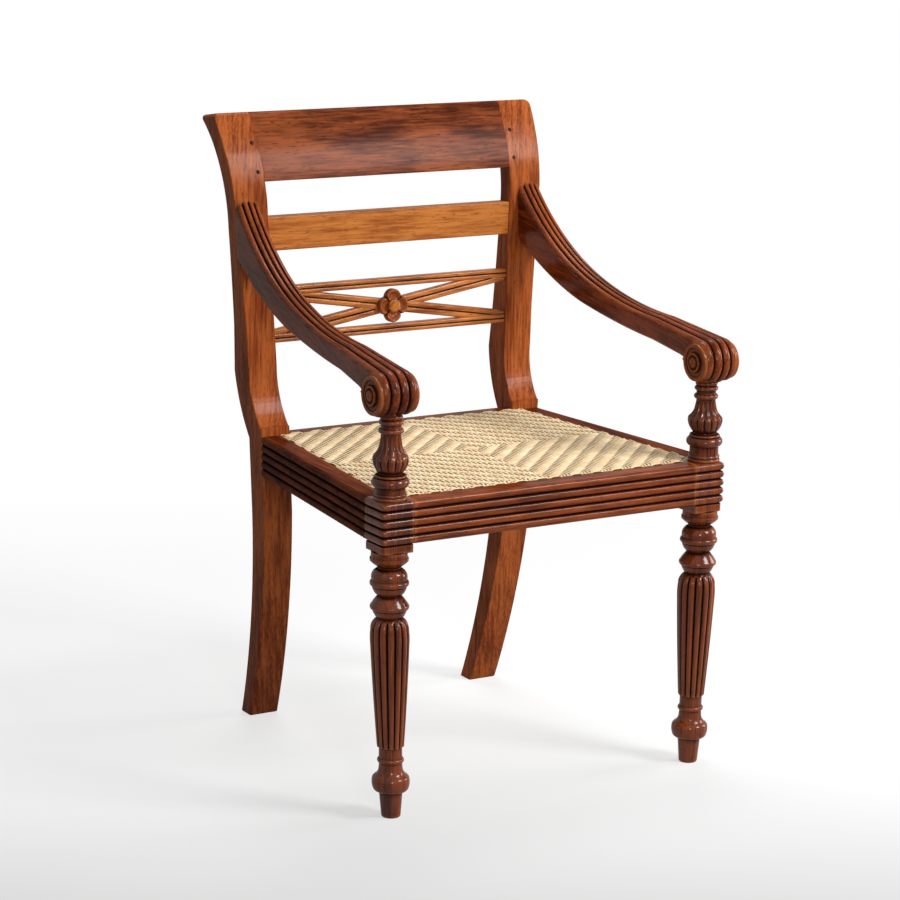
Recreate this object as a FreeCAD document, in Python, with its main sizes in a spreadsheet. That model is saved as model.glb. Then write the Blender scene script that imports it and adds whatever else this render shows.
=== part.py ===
import FreeCAD, Part
import os
import re
import Sketcher
from FreeCAD import Placement, Rotation, Vector

# Open armchair with reeded rails, turned front legs, sabre rear legs and a woven seat.
# The chair faces -Y and stands on Z = 0. Each piece is drawn with Y = 0 at the front face of
# the seat, and its placement then moves it so that the origin is under the chair's middle.
# Pieces of the right side are drawn, and those of the left side are their mirror images.

SIZES = {
    # Overall
    "seat_height": 445,
    "back_height": 899,
    "front_width": 557,
    "seat_depth": 427,
    # Back posts: half widths over both posts at the floor, at the height where they start to
    # widen and at the top, and the width of one post
    "foot_half_width": 216,
    "flare_half_width": 244.5,
    "top_half_width": 268,
    "post_foot_width": 46,
    "post_top_width": 57,
    "post_thick": 40,
    "leg_sweep": 71,
    "foot_thick": 29,
    "leg_straight_height": 330,
    "hip_drop": 9,
    "ledge_height": 12,
    "ledge_depth": 3,
    "knee_setback": 33,
    "knee_back_setback": 79,
    "waist_back_setback": 72,
    "crest_curve_setback": 45,
    "top_setback": 97,
    "top_thick": 42,
    "top_corner_radius": 10,
    # Seat rails and the square blocks of the front legs
    "block_size": 49,
    "block_drop": 12,
    "rail_height": 59,
    "rail_thick": 30,
    "rear_rail_thick": 23,
    "reed_count": 5,
    "reed_depth": 3.2,
    "rail_tenon_thick": 10,
    "rail_tenon_length": 20,
    "rail_tenon_rise": 6,
    "rail_tenon_height": 26,
    # Front legs
    "leg_radius": 27,
    "leg_reed_count": 14,
    "leg_groove_width": 4.4,
    "leg_groove_depth": 2.8,
    # Arm supports
    "support_radius": 25.7,
    "support_tenon_radius": 6.5,
    "support_tenon_length": 18,
    # Arms
    "arm_back_width": 37,
    "arm_front_width": 53,
    "arm_outset": 3,
    "arm_flare_start": 110,
    "arm_flare_end": 45,
    "arm_elbow_setback": 300,
    "arm_elbow_rise": 221,
    "arm_rest_setback": 130,
    "arm_rest_rise": 190,
    "arm_thick": 33,
    "arm_elbow_thick": 38,
    "scroll_radius": 31,
    "scroll_setback": 22,
    "scroll_rise": 146,
    "scroll_flat_drop": 26,
    "scroll_boss_radius": 15,
    "scroll_boss_height": 5,
    # Back rails
    "crest_height": 92,
    "crest_thick": 24,
    "crest_tenon_thick": 10,
    "crest_tenon_low_inset": 12,
    "crest_tenon_high_inset": 19,
    "crest_tenon_low_setback": 60,
    "crest_tenon_high_setback": 91,
    "back_tenon_length": 22,
    "middle_rail_height": 49,
    "middle_rail_thick": 20,
    "rail_recess": 2,
    "tenon_shoulder": 5,
    # Lattice
    "lattice_height": 82,
    "lattice_rail_height": 13,
    "lattice_rail_depth": 14,
    "lattice_recess": 3,
    "lattice_stub": 8,
    "bead_depth": 2,
    "bar_depth": 12,
    "bar_end_height": 5.5,
    "bar_run": 76,
    "petal_radius": 13.5,
    "petal_offset": 11.5,
    "rosette_thick": 8,
    "rosette_boss_radius": 10,
    "rosette_boss_height": 5,
    # Drop-in seat
    "weave_thick": 5,
    "seat_clearance": 0.5,
    "slat_width": 30,
    "slat_thick": 14,
    "slat_setback": 3,
    "corner_block_reach": 40,
    "corner_block_height": 24,
    # Fasteners
    "screw_radius": 2,
    "screw_head_radius": 4,
    "screw_head_height": 2.5,
    "block_screw_grip": 7,
    "block_screw_bite": 18,
    "block_screw_place": 25,
    "seat_screw_bite": 12,
    "seat_screw_recess": 8,
    "seat_screw_front_place": 8,
    "seat_screw_rear_place": 14,
    "arm_screw_bite": 32,
    "plug_radius": 5,
    "plug_length": 8,
    "peg_radius": 3,
    "peg_length": 16,
    "peg_edge": 9,
    "peg_spacing": 26,
    "peg_rise": 14,
    # Fits
    "fit_clearance": 0.1,
    "overrun": 60,
}

# Heights on the back, as shares of the way from the seat to the top of the back.
BACK_HEIGHT_SHARES = {
    "knee_back_height_share": 0.187,
    "knee_height_share": 0.209,
    "flare_height_share": 0.341,
    "lattice_middle_share": 0.372,
    "arm_bottom_height_share": 0.562,
    "middle_rail_bottom_share": 0.577,
    "arm_screw_height_share": 0.614,
    "waist_height_share": 0.650,
    "arm_top_height_share": 0.749,
    "crest_curve_height_share": 0.740,
}

# Named heights that follow from the sizes.
HEIGHTS = {
    "hip_height": "(seat_height - hip_drop)",
    "scroll_height": "(seat_height + scroll_rise)",
    "arm_rest_height": "(seat_height + arm_rest_rise)",
    "arm_elbow_height": "(seat_height + arm_elbow_rise)",
    "middle_rail_top": "(middle_rail_bottom + middle_rail_height)",
    "crest_bottom": "(back_height - crest_height)",
}
for share_name, height_share in BACK_HEIGHT_SHARES.items():
    place_name = share_name.removesuffix("_share")
    HEIGHTS[place_name] = f"(seat_height + (back_height - seat_height) * {height_share})"

# Derived places, as expressions on the sizes.
RAIL_BOTTOM = "(seat_height - rail_height)"
BLOCK_BOTTOM = "(seat_height - rail_height - block_drop)"
FRONT_HALF = "(front_width / 2)"
LEG_X = "(front_width / 2 - block_size / 2)"
LEG_Y = "(block_size / 2)"
ARM_FRONT_X = f"({LEG_X} + arm_outset)"
INNER_FOOT = "(foot_half_width - post_foot_width)"
INNER_CANT = f"((top_half_width - post_top_width - {INNER_FOOT}) / back_height)"
CANT = "((flare_half_width - foot_half_width) / flare_height)"
FLARE = "((top_half_width - flare_half_width) / (back_height - flare_height))"
POST_TOP_BACK = "(seat_depth + top_setback + top_thick)"
SCROLL_FRONT = "(scroll_setback - scroll_radius)"
MIDDLE_Y = f"(({POST_TOP_BACK} + {SCROLL_FRONT}) / 2)"
RAKE = "((crest_curve_setback - knee_setback) / (crest_curve_height - knee_height))"
SIDE_SLOPE = (f"(({FRONT_HALF} - foot_half_width - {CANT} * seat_height)"
              " / (seat_depth - block_size))")
SIDE_STRETCH = f"sqrt(1 + {SIDE_SLOPE} * {SIDE_SLOPE})"
SLAT_TOP = "(seat_height - weave_thick)"
SLAT_BOTTOM = "(seat_height - weave_thick - slat_thick)"
TENON_BOTTOM = f"({RAIL_BOTTOM} + rail_tenon_rise)"
TENON_TOP = f"({RAIL_BOTTOM} + rail_tenon_rise + rail_tenon_height)"

# Turned outlines, from the bottom up: (height share, radius share) at a corner, and two more
# shares for the point that an arc to the next corner passes through.
LEG_OUTLINE_SHARES = [
    (0.0000, 0.4519),
    (0.0032, 0.4889),
    (0.0976, 0.6000),
    (0.0976, 0.6667, 0.1032, 0.8370),
    (0.1150, 0.9259, 0.1283, 0.9630),
    (0.1511, 0.9333),
    (0.1564, 0.8741, 0.1658, 0.7185),
    (0.1898, 0.6037),
    (0.2059, 0.5852),
    (0.2072, 0.5926, 0.2166, 0.6815),
    (0.2259, 0.5926),
    (0.2594, 0.5889),
    (0.2690, 0.5963),
    (0.2690, 0.6926, 0.5080, 0.8963),
    (0.6551, 0.9926, 0.6845, 1.0000),
    (0.7086, 0.9741, 0.7340, 0.9000),
    (0.7513, 0.6889),
    (0.7540, 0.6593, 0.7701, 0.8000),
    (0.7821, 0.8667),
    (0.7845, 0.8444),
    (0.7845, 0.9111, 0.7947, 0.9852),
    (0.8048, 0.9259, 0.8209, 0.7778),
    (0.8356, 0.5963),
    (0.8369, 0.5963, 0.8529, 0.7926),
    (0.8695, 0.8741),
    (0.8722, 0.8519),
    (0.8722, 0.9111, 0.8829, 0.9889),
    (0.8930, 0.9111),
    (0.8939, 0.8889, 0.9118, 0.9037),
    (0.9372, 0.5926),
    (0.9452, 0.5889, 0.9545, 0.8000),
    (0.9642, 0.9407),
    (0.9666, 0.9704),
    (0.9765, 0.9704),
    (0.9781, 0.9259),
    (1.0000, 0.9037),
]
GROOVE_LOW_SHARE = 0.2690
GROOVE_LOW_RADIUS_SHARE = 0.693
GROOVE_HIGH_SHARE = 0.6845
GROOVE_HIGH_RADIUS_SHARE = 1.0
GROOVE_TOP_SHARE = 0.7350
GROOVE_TOP_RADIUS_SHARE = 0.90

SUPPORT_OUTLINE_SHARES = [
    (0.0000, 0.8405),
    (0.0067, 0.8677),
    (0.0708, 0.8794),
    (0.0708, 0.8249),
    (0.1417, 0.8093),
    (0.1467, 0.8405, 0.2117, 1.0000),
    (0.2567, 0.8911),
    (0.2600, 0.8327),
    (0.2867, 0.7160),
    (0.3042, 0.6381, 0.3717, 0.8560),
    (0.4467, 0.9494),
    (0.4750, 0.9455),
    (0.4983, 0.9027, 0.5500, 0.7237),
    (0.6283, 0.5992),
    (0.7000, 0.5409),
    (0.7383, 0.5292),
    (0.7417, 0.5837, 0.7725, 0.6537),
    (0.8042, 0.5837),
    (0.8100, 0.5759),
    (0.8858, 0.5759),
    (0.8875, 0.6381),
    (0.9333, 0.6770),
    (1.0000, 0.6459),
]

BOSS_OUTLINE_SHARES = [
    (0.00, 1.00, 0.75, 0.72),
    (1.00, 0.20),
]

# Bend points of the post's arcs: shares of the way in Y and in Z from the lower end of the arc.
LEG_FRONT_BEND_SHARE = (0.683, 0.5)
LEG_BACK_BEND_SHARE = (0.733, 0.5)
KNEE_FRONT_BEND_SHARE = (0.567, 0.29)
KNEE_BACK_BEND_SHARE = (0.667, 0.5)
BACK_BEND_SHARE = (0.786, 0.5)
TOP_FRONT_BEND_SHARE = (0.317, 0.5)
TOP_BACK_BEND_SHARE = (0.203, 0.535)
# Bend points of the arm's arcs, from the rear end of the arc.
ARM_HIGH_BEND_SHARE = (0.42, 0.565)
ARM_LOW_BEND_SHARE = (0.53, 0.735)
UNDER_REST_BEND_SHARE = (0.5, 0.37)
UNDER_ELBOW_BEND_SHARE = (0.44, 0.55)
ELBOW_SHIFT_SHARE = 0.35
# The quarter-circle point of a rounded corner, as a share of its radius.
DIAGONAL_SHARE = 0.7071

FUNCTIONS = "sqrt|atan"
NEAR_ZERO = 1e-9

document = FreeCAD.newDocument("armchair")
sheet = document.addObject("Spreadsheet::Sheet", "Sizes")
for row, (alias, size) in enumerate(SIZES.items(), start=1):
    sheet.set(f"A{row}", alias.replace("_", " "))
    sheet.set(f"B{row}", str(size))
    sheet.setAlias(f"B{row}", alias)
document.recompute()

pieces = {}


def bind(text):
    """Write an expression on the sizes the way that objects outside the sheet read it."""
    known = "|".join(HEIGHTS)
    while re.search(rf"\b({known})\b", text):
        text = re.sub(rf"\b({known})\b", lambda word: HEIGHTS[word.group()], text)
    return re.sub(rf"\b(?!(?:{FUNCTIONS})\b)[a-z]\w*", lambda word: "Sizes." + word.group(), text)


def number(text):
    """Work out an expression on the sizes."""
    result = sheet.evalExpression(bind(text))
    return float(getattr(result, "Value", result))


def between(low, high, share):
    """The expression for a place a share of the way from low to high."""
    return f"({low} + ({high} - {low}) * {share})"


def inner_half(height):
    """Half the distance between the posts at a height."""
    return f"({INNER_FOOT} + {INNER_CANT} * ({height}))"


def outer_half(height):
    """Half the distance over the posts at a height where they have started to widen."""
    return f"(flare_half_width + {FLARE} * (({height}) - flare_height))"


def side_x(setback, inset="0"):
    """X of a line that runs along the side rail, an inset away from its outer face."""
    return f"({FRONT_HALF} - ({setback} - block_size) * {SIDE_SLOPE} - ({inset}) * {SIDE_STRETCH})"


def post_front(height):
    """Y of the straight stretch of the posts' front face at a height."""
    return f"(seat_depth + knee_setback + ({height} - knee_height) * {RAKE})"


PLANES = {"YZ": ("YZ_Plane", 1), "XZ": ("XZ_Plane", -1), "XY": ("XY_Plane", 1)}


def new_body(label, x="0", y=f"(-{MIDDLE_Y})", z="0"):
    """A body whose own origin stands at a place given by three expressions."""
    body = document.addObject("PartDesign::Body", label)
    body.Label = label
    for axis, text in (("x", x), ("y", y), ("z", z)):
        body.setExpression(f"Placement.Base.{axis}", bind(text))
    return body


def sketch_on(body, name, plane, at="0"):
    """A sketch on one of the body's origin planes, or at a distance from it."""
    sketch = body.newObject("Sketcher::SketchObject", name)
    role, sign = PLANES[plane]
    origin_plane = next(item for item in body.Origin.OriginFeatures if item.Role == role)
    sketch.AttachmentSupport = (origin_plane, [""])
    sketch.MapMode = "FlatFace"
    sketch.setExpression("AttachmentOffset.Base.z", bind(f"{sign} * ({at})"))
    return sketch


def hold(sketch, geometry, position, x, y):
    """Fix a point of the sketch at a place given by two expressions."""
    for kind, axis, text in (("DistanceX", -2, x), ("DistanceY", -1, y)):
        here = number(text)
        if abs(here) < NEAR_ZERO:
            sketch.addConstraint(Sketcher.Constraint("PointOnObject", geometry, position, axis))
            continue
        index = sketch.addConstraint(Sketcher.Constraint(kind, -1, 1, geometry, position, here))
        sketch.setExpression(f"Constraints[{index}]", bind(text))


def outline(sketch, corners):
    """Draw a closed outline. A corner is (x, y) where a straight edge leaves it, and
    (x, y, bend x, bend y) where an arc leaves it that passes through the bend point."""
    places = [Vector(number(corner[0]), number(corner[1]), 0) for corner in corners]
    edges = []
    for index, corner in enumerate(corners):
        start = places[index]
        end = places[(index + 1) % len(corners)]
        if len(corner) == 2:
            edges.append((sketch.addGeometry(Part.LineSegment(start, end)), 1, 2))
            continue
        bend = Vector(number(corner[2]), number(corner[3]), 0)
        arc = sketch.addGeometry(Part.Arc(start, bend, end))
        first = 1 if sketch.getPoint(arc, 1).isEqual(start, NEAR_ZERO) else 2
        edges.append((arc, first, 3 - first))
        mark = sketch.addGeometry(Part.Point(bend), True)
        sketch.addConstraint(Sketcher.Constraint("PointOnObject", mark, 1, arc))
        hold(sketch, mark, 1, corner[2], corner[3])
    for index, (edge, first, last) in enumerate(edges):
        following = edges[(index + 1) % len(edges)]
        sketch.addConstraint(Sketcher.Constraint("Coincident", edge, last, following[0], following[1]))
        hold(sketch, edge, first, corners[index][0], corners[index][1])


def rectangle(sketch, low_x, low_y, high_x, high_y):
    """Draw a rectangle between two corners."""
    outline(sketch, [(low_x, low_y), (high_x, low_y), (high_x, high_y), (low_x, high_y)])


def circle(sketch, x, y, radius):
    """Draw a circle."""
    place = Vector(number(x), number(y), 0)
    ring = sketch.addGeometry(Part.Circle(place, Vector(0, 0, 1), number(radius)))
    index = sketch.addConstraint(Sketcher.Constraint("Radius", ring, number(radius)))
    sketch.setExpression(f"Constraints[{index}]", bind(radius))
    hold(sketch, ring, 3, x, y)


def extrude(kind, body, sketch, length, plane):
    """Pad or pocket a sketch along the positive axis that crosses its plane."""
    feature = body.newObject(f"PartDesign::{kind}", sketch.Name + kind)
    feature.Profile = sketch
    feature.setExpression("Length", bind(length))
    along_normal = PLANES[plane][1] > 0
    feature.Reversed = along_normal if kind == "Pocket" else not along_normal
    sketch.Visibility = False
    return feature


def pad(body, name, plane, start, end, draw):
    """Add a prism between two places on the axis that crosses the plane."""
    sketch = sketch_on(body, name, plane, start)
    draw(sketch)
    return extrude("Pad", body, sketch, f"({end}) - ({start})", plane)


def cut(body, name, plane, start, end, draw):
    """Cut a prism away between two places on the axis that crosses the plane."""
    sketch = sketch_on(body, name, plane, start)
    draw(sketch)
    return extrude("Pocket", body, sketch, f"({end}) - ({start})", plane)


def slant(feature, run_x, run_y):
    """Let a pad or pocket run along a slanted line, with its length measured straight."""
    feature.UseCustomVector = True
    feature.AlongSketchNormal = True
    feature.setExpression("Direction.x", bind(run_x))
    feature.setExpression("Direction.y", bind(run_y))
    feature.Direction = Vector(number(run_x), number(run_y), 0)
    feature.Reversed = False


def trim(body, name, plane, start, end, keep, reach):
    """Cut away all that lies outside an outline, as far as reach from the origin."""
    def draw(sketch):
        rectangle(sketch, f"-({reach})", f"-({reach})", reach, reach)
        outline(sketch, keep)
    return cut(body, name, plane, start, end, draw)


def mirrored(label, source):
    """The left twin of a piece of the right side."""
    twin = document.addObject("Part::Mirroring", label)
    twin.Label = label
    twin.Source = source
    twin.Normal = Vector(1, 0, 0)
    pieces[label] = twin
    return twin


def both_sides(name, body):
    """Keep a right piece and add its left twin."""
    pieces[f"{name}_right"] = body
    mirrored(f"{name}_left", body)


def turn(body, name, shares, height, radius, base="0", plane="XZ"):
    """Revolve an outline that is given in shares of a height and a radius."""
    sketch = sketch_on(body, name, plane)
    corners = [("0", base)]
    for share in shares:
        corner = [f"{radius} * {share[1]}", f"{base} + {height} * {share[0]}"]
        if len(share) > 2:
            corner += [f"{radius} * {share[3]}", f"{base} + {height} * {share[2]}"]
        corners.append(tuple(corner))
    corners.append(("0", f"{base} + {height}"))
    outline(sketch, corners)
    feature = body.newObject("PartDesign::Revolution", name + "Turned")
    feature.Profile = sketch
    feature.ReferenceAxis = (sketch, ["V_Axis"])
    sketch.Visibility = False
    return feature


def reeds(low, high, count, face, inward):
    """Corners of a reeded edge, from its low end to its high end. Each reed is an arc that
    touches the face line; the grooves between them lie a reed depth inward."""
    groove = f"({face} + ({inward}) * reed_depth)"
    step = f"(({high}) - ({low})) / {count}"
    return [(groove, f"({low}) + {index} * {step}", face, f"({low}) + ({index} + 0.5) * {step}")
            for index in range(count)]


# Back posts: leg and back in one board, curved in the side view and canted in the front view.
def from_post(setback):
    """Y of a place behind the posts' front plane."""
    return f"(seat_depth + {setback})"


def bend(lower, upper, shares):
    """The bend point of an arc between a lower and an upper point."""
    return (between(lower[0], upper[0], shares[0]), between(lower[1], upper[1], shares[1]))


FOOT_FRONT = (from_post("leg_sweep"), "0")
FOOT_BACK = (from_post("leg_sweep + foot_thick"), "0")
LEG_FRONT_TOP = (from_post("0"), "leg_straight_height")
LEG_BACK_TOP = (from_post("post_thick"), "leg_straight_height")
LEDGE_EDGE = (from_post("0"), "(seat_height + ledge_height)")
LEDGE_FOOT = (from_post("ledge_depth"), "(seat_height + ledge_height)")
KNEE_FRONT = (from_post("knee_setback"), "knee_height")
HIP_BACK = (from_post("post_thick"), "hip_height")
KNEE_BACK = (from_post("knee_back_setback"), "knee_back_height")
WAIST_BACK = (from_post("waist_back_setback"), "waist_height")
CREST_FRONT_LOW = (from_post("crest_curve_setback"), "crest_curve_height")
CREST_FRONT_TOP = (from_post("top_setback"), "back_height")
POST_BACK_TOP = (POST_TOP_BACK, "back_height")


def crest_front(height):
    """Y of the curved front face of the crest and posts at a height."""
    way = f"(({height} - crest_curve_height) / (back_height - crest_curve_height))"
    chord = between("crest_curve_setback", "top_setback", way)
    sag = f"(4 * (top_setback - crest_curve_setback) * ({TOP_FRONT_BEND_SHARE[0]} - 0.5))"
    return f"(seat_depth + {chord} + {sag} * {way} * (1 - {way}))"


def draw_post_side(sketch):
    outline(sketch, [
        FOOT_FRONT + bend(FOOT_FRONT, LEG_FRONT_TOP, LEG_FRONT_BEND_SHARE),
        LEG_FRONT_TOP,
        LEDGE_EDGE,
        LEDGE_FOOT + bend(LEDGE_FOOT, KNEE_FRONT, KNEE_FRONT_BEND_SHARE),
        KNEE_FRONT,
        CREST_FRONT_LOW + bend(CREST_FRONT_LOW, CREST_FRONT_TOP, TOP_FRONT_BEND_SHARE),
        CREST_FRONT_TOP,
        POST_BACK_TOP + bend(WAIST_BACK, POST_BACK_TOP, TOP_BACK_BEND_SHARE),
        WAIST_BACK + bend(KNEE_BACK, WAIST_BACK, BACK_BEND_SHARE),
        KNEE_BACK + bend(HIP_BACK, KNEE_BACK, KNEE_BACK_BEND_SHARE),
        HIP_BACK,
        LEG_BACK_TOP + bend(FOOT_BACK, LEG_BACK_TOP, LEG_BACK_BEND_SHARE),
        FOOT_BACK,
    ])


CORNER_EASE = f"(top_corner_radius * (1 - {DIAGONAL_SHARE}))"
POST_FACE = [
    (inner_half("0"), "0"),
    ("foot_half_width", "0"),
    ("flare_half_width", "flare_height"),
    (outer_half("back_height - top_corner_radius"), "(back_height - top_corner_radius)",
     f"({outer_half('back_height')} - {CORNER_EASE})", f"(back_height - {CORNER_EASE})"),
    (f"({outer_half('back_height')} - top_corner_radius)", "back_height"),
    (inner_half("back_height"), "back_height"),
]

CREST_TENON = [
    (from_post("crest_tenon_low_setback"), "(crest_bottom + crest_tenon_low_inset)"),
    (from_post("crest_tenon_high_setback"), "(back_height - crest_tenon_high_inset)"),
    (from_post("crest_tenon_high_setback + crest_tenon_thick"),
     "(back_height - crest_tenon_high_inset)"),
    (from_post("crest_tenon_low_setback + crest_tenon_thick"),
     "(crest_bottom + crest_tenon_low_inset)"),
]


def leaning(low, high, front, thick):
    """A strip in the side view that leans with the posts, front being its distance behind
    their front face."""
    return [
        (f"({post_front(low)} + {front})", low),
        (f"({post_front(high)} + {front})", high),
        (f"({post_front(high)} + {front} + {thick})", high),
        (f"({post_front(low)} + {front} + {thick})", low),
    ]


MIDDLE_TENON = leaning("(middle_rail_bottom + tenon_shoulder)", "(middle_rail_top - tenon_shoulder)",
                       "rail_recess + tenon_shoulder", "(middle_rail_thick - 2 * tenon_shoulder)")
LEAN = f"sqrt(1 + {RAKE} * {RAKE})"
OPENING = "(lattice_height / 2 - lattice_rail_height)"
LATTICE_RAILS = {
    "lattice_top_rail": (OPENING, "(lattice_height / 2)"),
    "lattice_bottom_rail": ("(-lattice_height / 2)", f"(-{OPENING})"),
}


def tilted(depth, rise):
    """Side-view place of a point in the lattice's leaning frame."""
    return (f"({post_front('lattice_middle')} + ({depth} + {rise} * {RAKE}) / {LEAN})",
            f"(lattice_middle + ({rise} - ({depth}) * {RAKE}) / {LEAN})")


CREST_REACH = f"({inner_half('crest_bottom')} + back_tenon_length)"
MIDDLE_REACH = f"({inner_half('middle_rail_bottom')} + back_tenon_length)"
LATTICE_REACH = f"({inner_half('lattice_middle')} + lattice_stub)"
REAR_REACH = f"({inner_half(RAIL_BOTTOM)} + rail_tenon_length)"
REAR_TENON_FRONT = from_post("(rear_rail_thick - rail_tenon_thick) / 2")
ARM_BACK_X = f"({outer_half('arm_screw_height')} - arm_back_width / 2)"
PEG_HEIGHTS = ["(crest_bottom + peg_rise)", "(crest_bottom + peg_rise + peg_spacing)"]
POST_BACK_REACH = f"({POST_TOP_BACK} + overrun)"


def side_tenon(sketch, setback, shift_x="0", shift_y="0"):
    """The side rail's tenon where it crosses a plane at a distance from the front."""
    rectangle(sketch,
              f"({side_x(setback, '(rail_thick + rail_tenon_thick) / 2')} - {shift_x})",
              f"({TENON_BOTTOM} - {shift_y})",
              f"({side_x(setback, '(rail_thick - rail_tenon_thick) / 2')} - {shift_x})",
              f"({TENON_TOP} - {shift_y})")


post = new_body("back_post_right")
pad(post, "PostSide", "YZ", f"({inner_half('0')} - overrun)",
    f"({outer_half('back_height')} + overrun)", draw_post_side)
trim(post, "PostFace", "XZ", "0", POST_BACK_REACH, POST_FACE, "(back_height + overrun)")
cut(post, "CrestMortise", "YZ", "0", f"({CREST_REACH} + fit_clearance)",
    lambda sketch: outline(sketch, CREST_TENON))
cut(post, "MiddleMortise", "YZ", "0", f"({MIDDLE_REACH} + fit_clearance)",
    lambda sketch: outline(sketch, MIDDLE_TENON))
for rail_name, (rail_low, rail_high) in LATTICE_RAILS.items():
    housing = [tilted(depth, rise) for depth, rise in (
        ("lattice_recess", rail_low), ("lattice_recess", rail_high),
        ("(lattice_recess + lattice_rail_depth)", rail_high),
        ("(lattice_recess + lattice_rail_depth)", rail_low))]
    cut(post, "Housing" + rail_name, "YZ", "0", f"({LATTICE_REACH} + fit_clearance)",
        lambda sketch: outline(sketch, housing))
cut(post, "RearMortise", "YZ", "0", f"({REAR_REACH} + fit_clearance)",
    lambda sketch: rectangle(sketch, REAR_TENON_FRONT, TENON_BOTTOM,
                             f"({REAR_TENON_FRONT} + rail_tenon_thick)", TENON_TOP))
slant(cut(post, "SideMortise", "XZ", "seat_depth", "(seat_depth + rail_tenon_length + fit_clearance)",
          lambda sketch: side_tenon(sketch, "seat_depth")), f"-{SIDE_SLOPE}", "1")
cut(post, "ArmScrewHole", "XZ", "seat_depth", POST_BACK_REACH,
    lambda sketch: circle(sketch, ARM_BACK_X, "arm_screw_height", "(screw_radius + fit_clearance)"))
cut(post, "PlugHole", "XZ", from_post("waist_back_setback - plug_length - screw_head_height"),
    POST_BACK_REACH,
    lambda sketch: circle(sketch, ARM_BACK_X, "arm_screw_height", "(plug_radius + fit_clearance)"))
for peg_number, peg_height in enumerate(PEG_HEIGHTS):
    cut(post, f"PegHole{peg_number}", "XZ", "seat_depth", f"({crest_front(peg_height)} + peg_length)",
        lambda sketch: circle(sketch, f"({inner_half(peg_height)} + peg_edge)", peg_height,
                              "(peg_radius + fit_clearance)"))
both_sides("back_post", post)


# Crest and middle rails: boards between the posts, with shoulders cut to the posts' cant.
def tenoned_board(label, draw_section, low, high, tenon, reach):
    board = new_body(label)
    pad(board, label + "Section", "YZ", f"-{reach}", reach, draw_section)
    trim(board, label + "Face", "XZ", "0", POST_BACK_REACH, [
        (f"-{inner_half(low)}", low),
        (inner_half(low), low),
        (inner_half(high), high),
        (f"-{inner_half(high)}", high),
    ], "(back_height + overrun)")
    pad(board, label + "Tenon", "YZ", f"-{reach}", reach, lambda sketch: outline(sketch, tenon))
    pieces[label] = board
    return board


def draw_crest(sketch):
    low = (f"({CREST_FRONT_LOW[0]} + crest_thick)", CREST_FRONT_LOW[1])
    high = (f"({CREST_FRONT_TOP[0]} + crest_thick)", CREST_FRONT_TOP[1])
    outline(sketch, [
        CREST_FRONT_LOW + bend(CREST_FRONT_LOW, CREST_FRONT_TOP, TOP_FRONT_BEND_SHARE),
        CREST_FRONT_TOP,
        high + bend(low, high, TOP_FRONT_BEND_SHARE),
        low,
    ])


crest = tenoned_board("crest_rail", draw_crest, "crest_bottom", "back_height", CREST_TENON,
                      CREST_REACH)
for peg_number, peg_height in enumerate(PEG_HEIGHTS):
    for side in ("", "-"):
        cut(crest, f"CrestPegHole{peg_number}{'Left' if side else 'Right'}", "XZ", "seat_depth",
            POST_BACK_REACH,
            lambda sketch: circle(sketch, f"{side}({inner_half(peg_height)} + peg_edge)", peg_height,
                                  "(peg_radius + fit_clearance)"))
tenoned_board("middle_rail",
              lambda sketch: outline(sketch, leaning("middle_rail_bottom", "middle_rail_top",
                                                     "rail_recess", "middle_rail_thick")),
              "middle_rail_bottom", "middle_rail_top", MIDDLE_TENON, MIDDLE_REACH)
rear_rail = tenoned_board("rear_seat_rail",
              lambda sketch: rectangle(sketch, "seat_depth", RAIL_BOTTOM,
                                       from_post("rear_rail_thick"), "seat_height"),
              RAIL_BOTTOM, "seat_height",
              [(REAR_TENON_FRONT, TENON_BOTTOM), (REAR_TENON_FRONT, TENON_TOP),
               (f"({REAR_TENON_FRONT} + rail_tenon_thick)", TENON_TOP),
               (f"({REAR_TENON_FRONT} + rail_tenon_thick)", TENON_BOTTOM)],
              REAR_REACH)


# Lattice: two beaded rails housed in the posts, two crossed bars and a rosette.
def beaded(low, high):
    """The section of a lattice rail, with two beads on its front."""
    def place(share, depth):
        return tilted(f"(lattice_recess + {depth})", between(low, high, share))
    return [
        place(0, "bead_depth") + place(0.25, "0"),
        place(0.5, "bead_depth") + place(0.75, "0"),
        place(1, "bead_depth"),
        place(1, "lattice_rail_depth"),
        place(0, "lattice_rail_depth"),
    ]


for rail_name, (rail_low, rail_high) in LATTICE_RAILS.items():
    rail = new_body(rail_name)
    section = beaded(rail_low, rail_high)
    pad(rail, rail_name + "Section", "YZ", f"-{LATTICE_REACH}", LATTICE_REACH,
        lambda sketch: outline(sketch, section))
    pieces[rail_name] = rail

LATTICE_Y = f"({post_front('lattice_middle')} - {MIDDLE_Y})"
BAR_FRONT = "(lattice_recess + (lattice_rail_depth - bar_depth) / 2)"


def lattice_body(label):
    """A body whose front view lies in the leaning plane of the lattice."""
    body = new_body(label, "0", LATTICE_Y, "lattice_middle")
    body.Placement = Placement(body.Placement.Base, Rotation(Vector(-1, 0, 0), 1))
    body.setExpression("Placement.Rotation.Angle", bind(f"atan({RAKE})"))
    pieces[label] = body
    return body


def bar_outline(sign):
    """A bar from one end of the opening to the far end of the other rail. The bar rises
    towards +X where sign is 1."""
    def bar_end(height):
        return f"({inner_half(f'(lattice_middle + {height})')} - fit_clearance)"
    right_low = f"({OPENING} - bar_end_height)"
    left_high = f"(bar_end_height - {OPENING})"
    corners = [
        (f"-{bar_end(f'(-{OPENING})')}", f"-{OPENING}"),
        (f"(bar_run - {bar_end(f'(-{OPENING})')})", f"-{OPENING}"),
        (bar_end(right_low), right_low),
        (bar_end(OPENING), OPENING),
        (f"({bar_end(OPENING)} - bar_run)", OPENING),
        (f"-{bar_end(left_high)}", left_high),
    ]
    return [(across if sign > 0 else f"-({across})", height) for across, height in corners]


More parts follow.
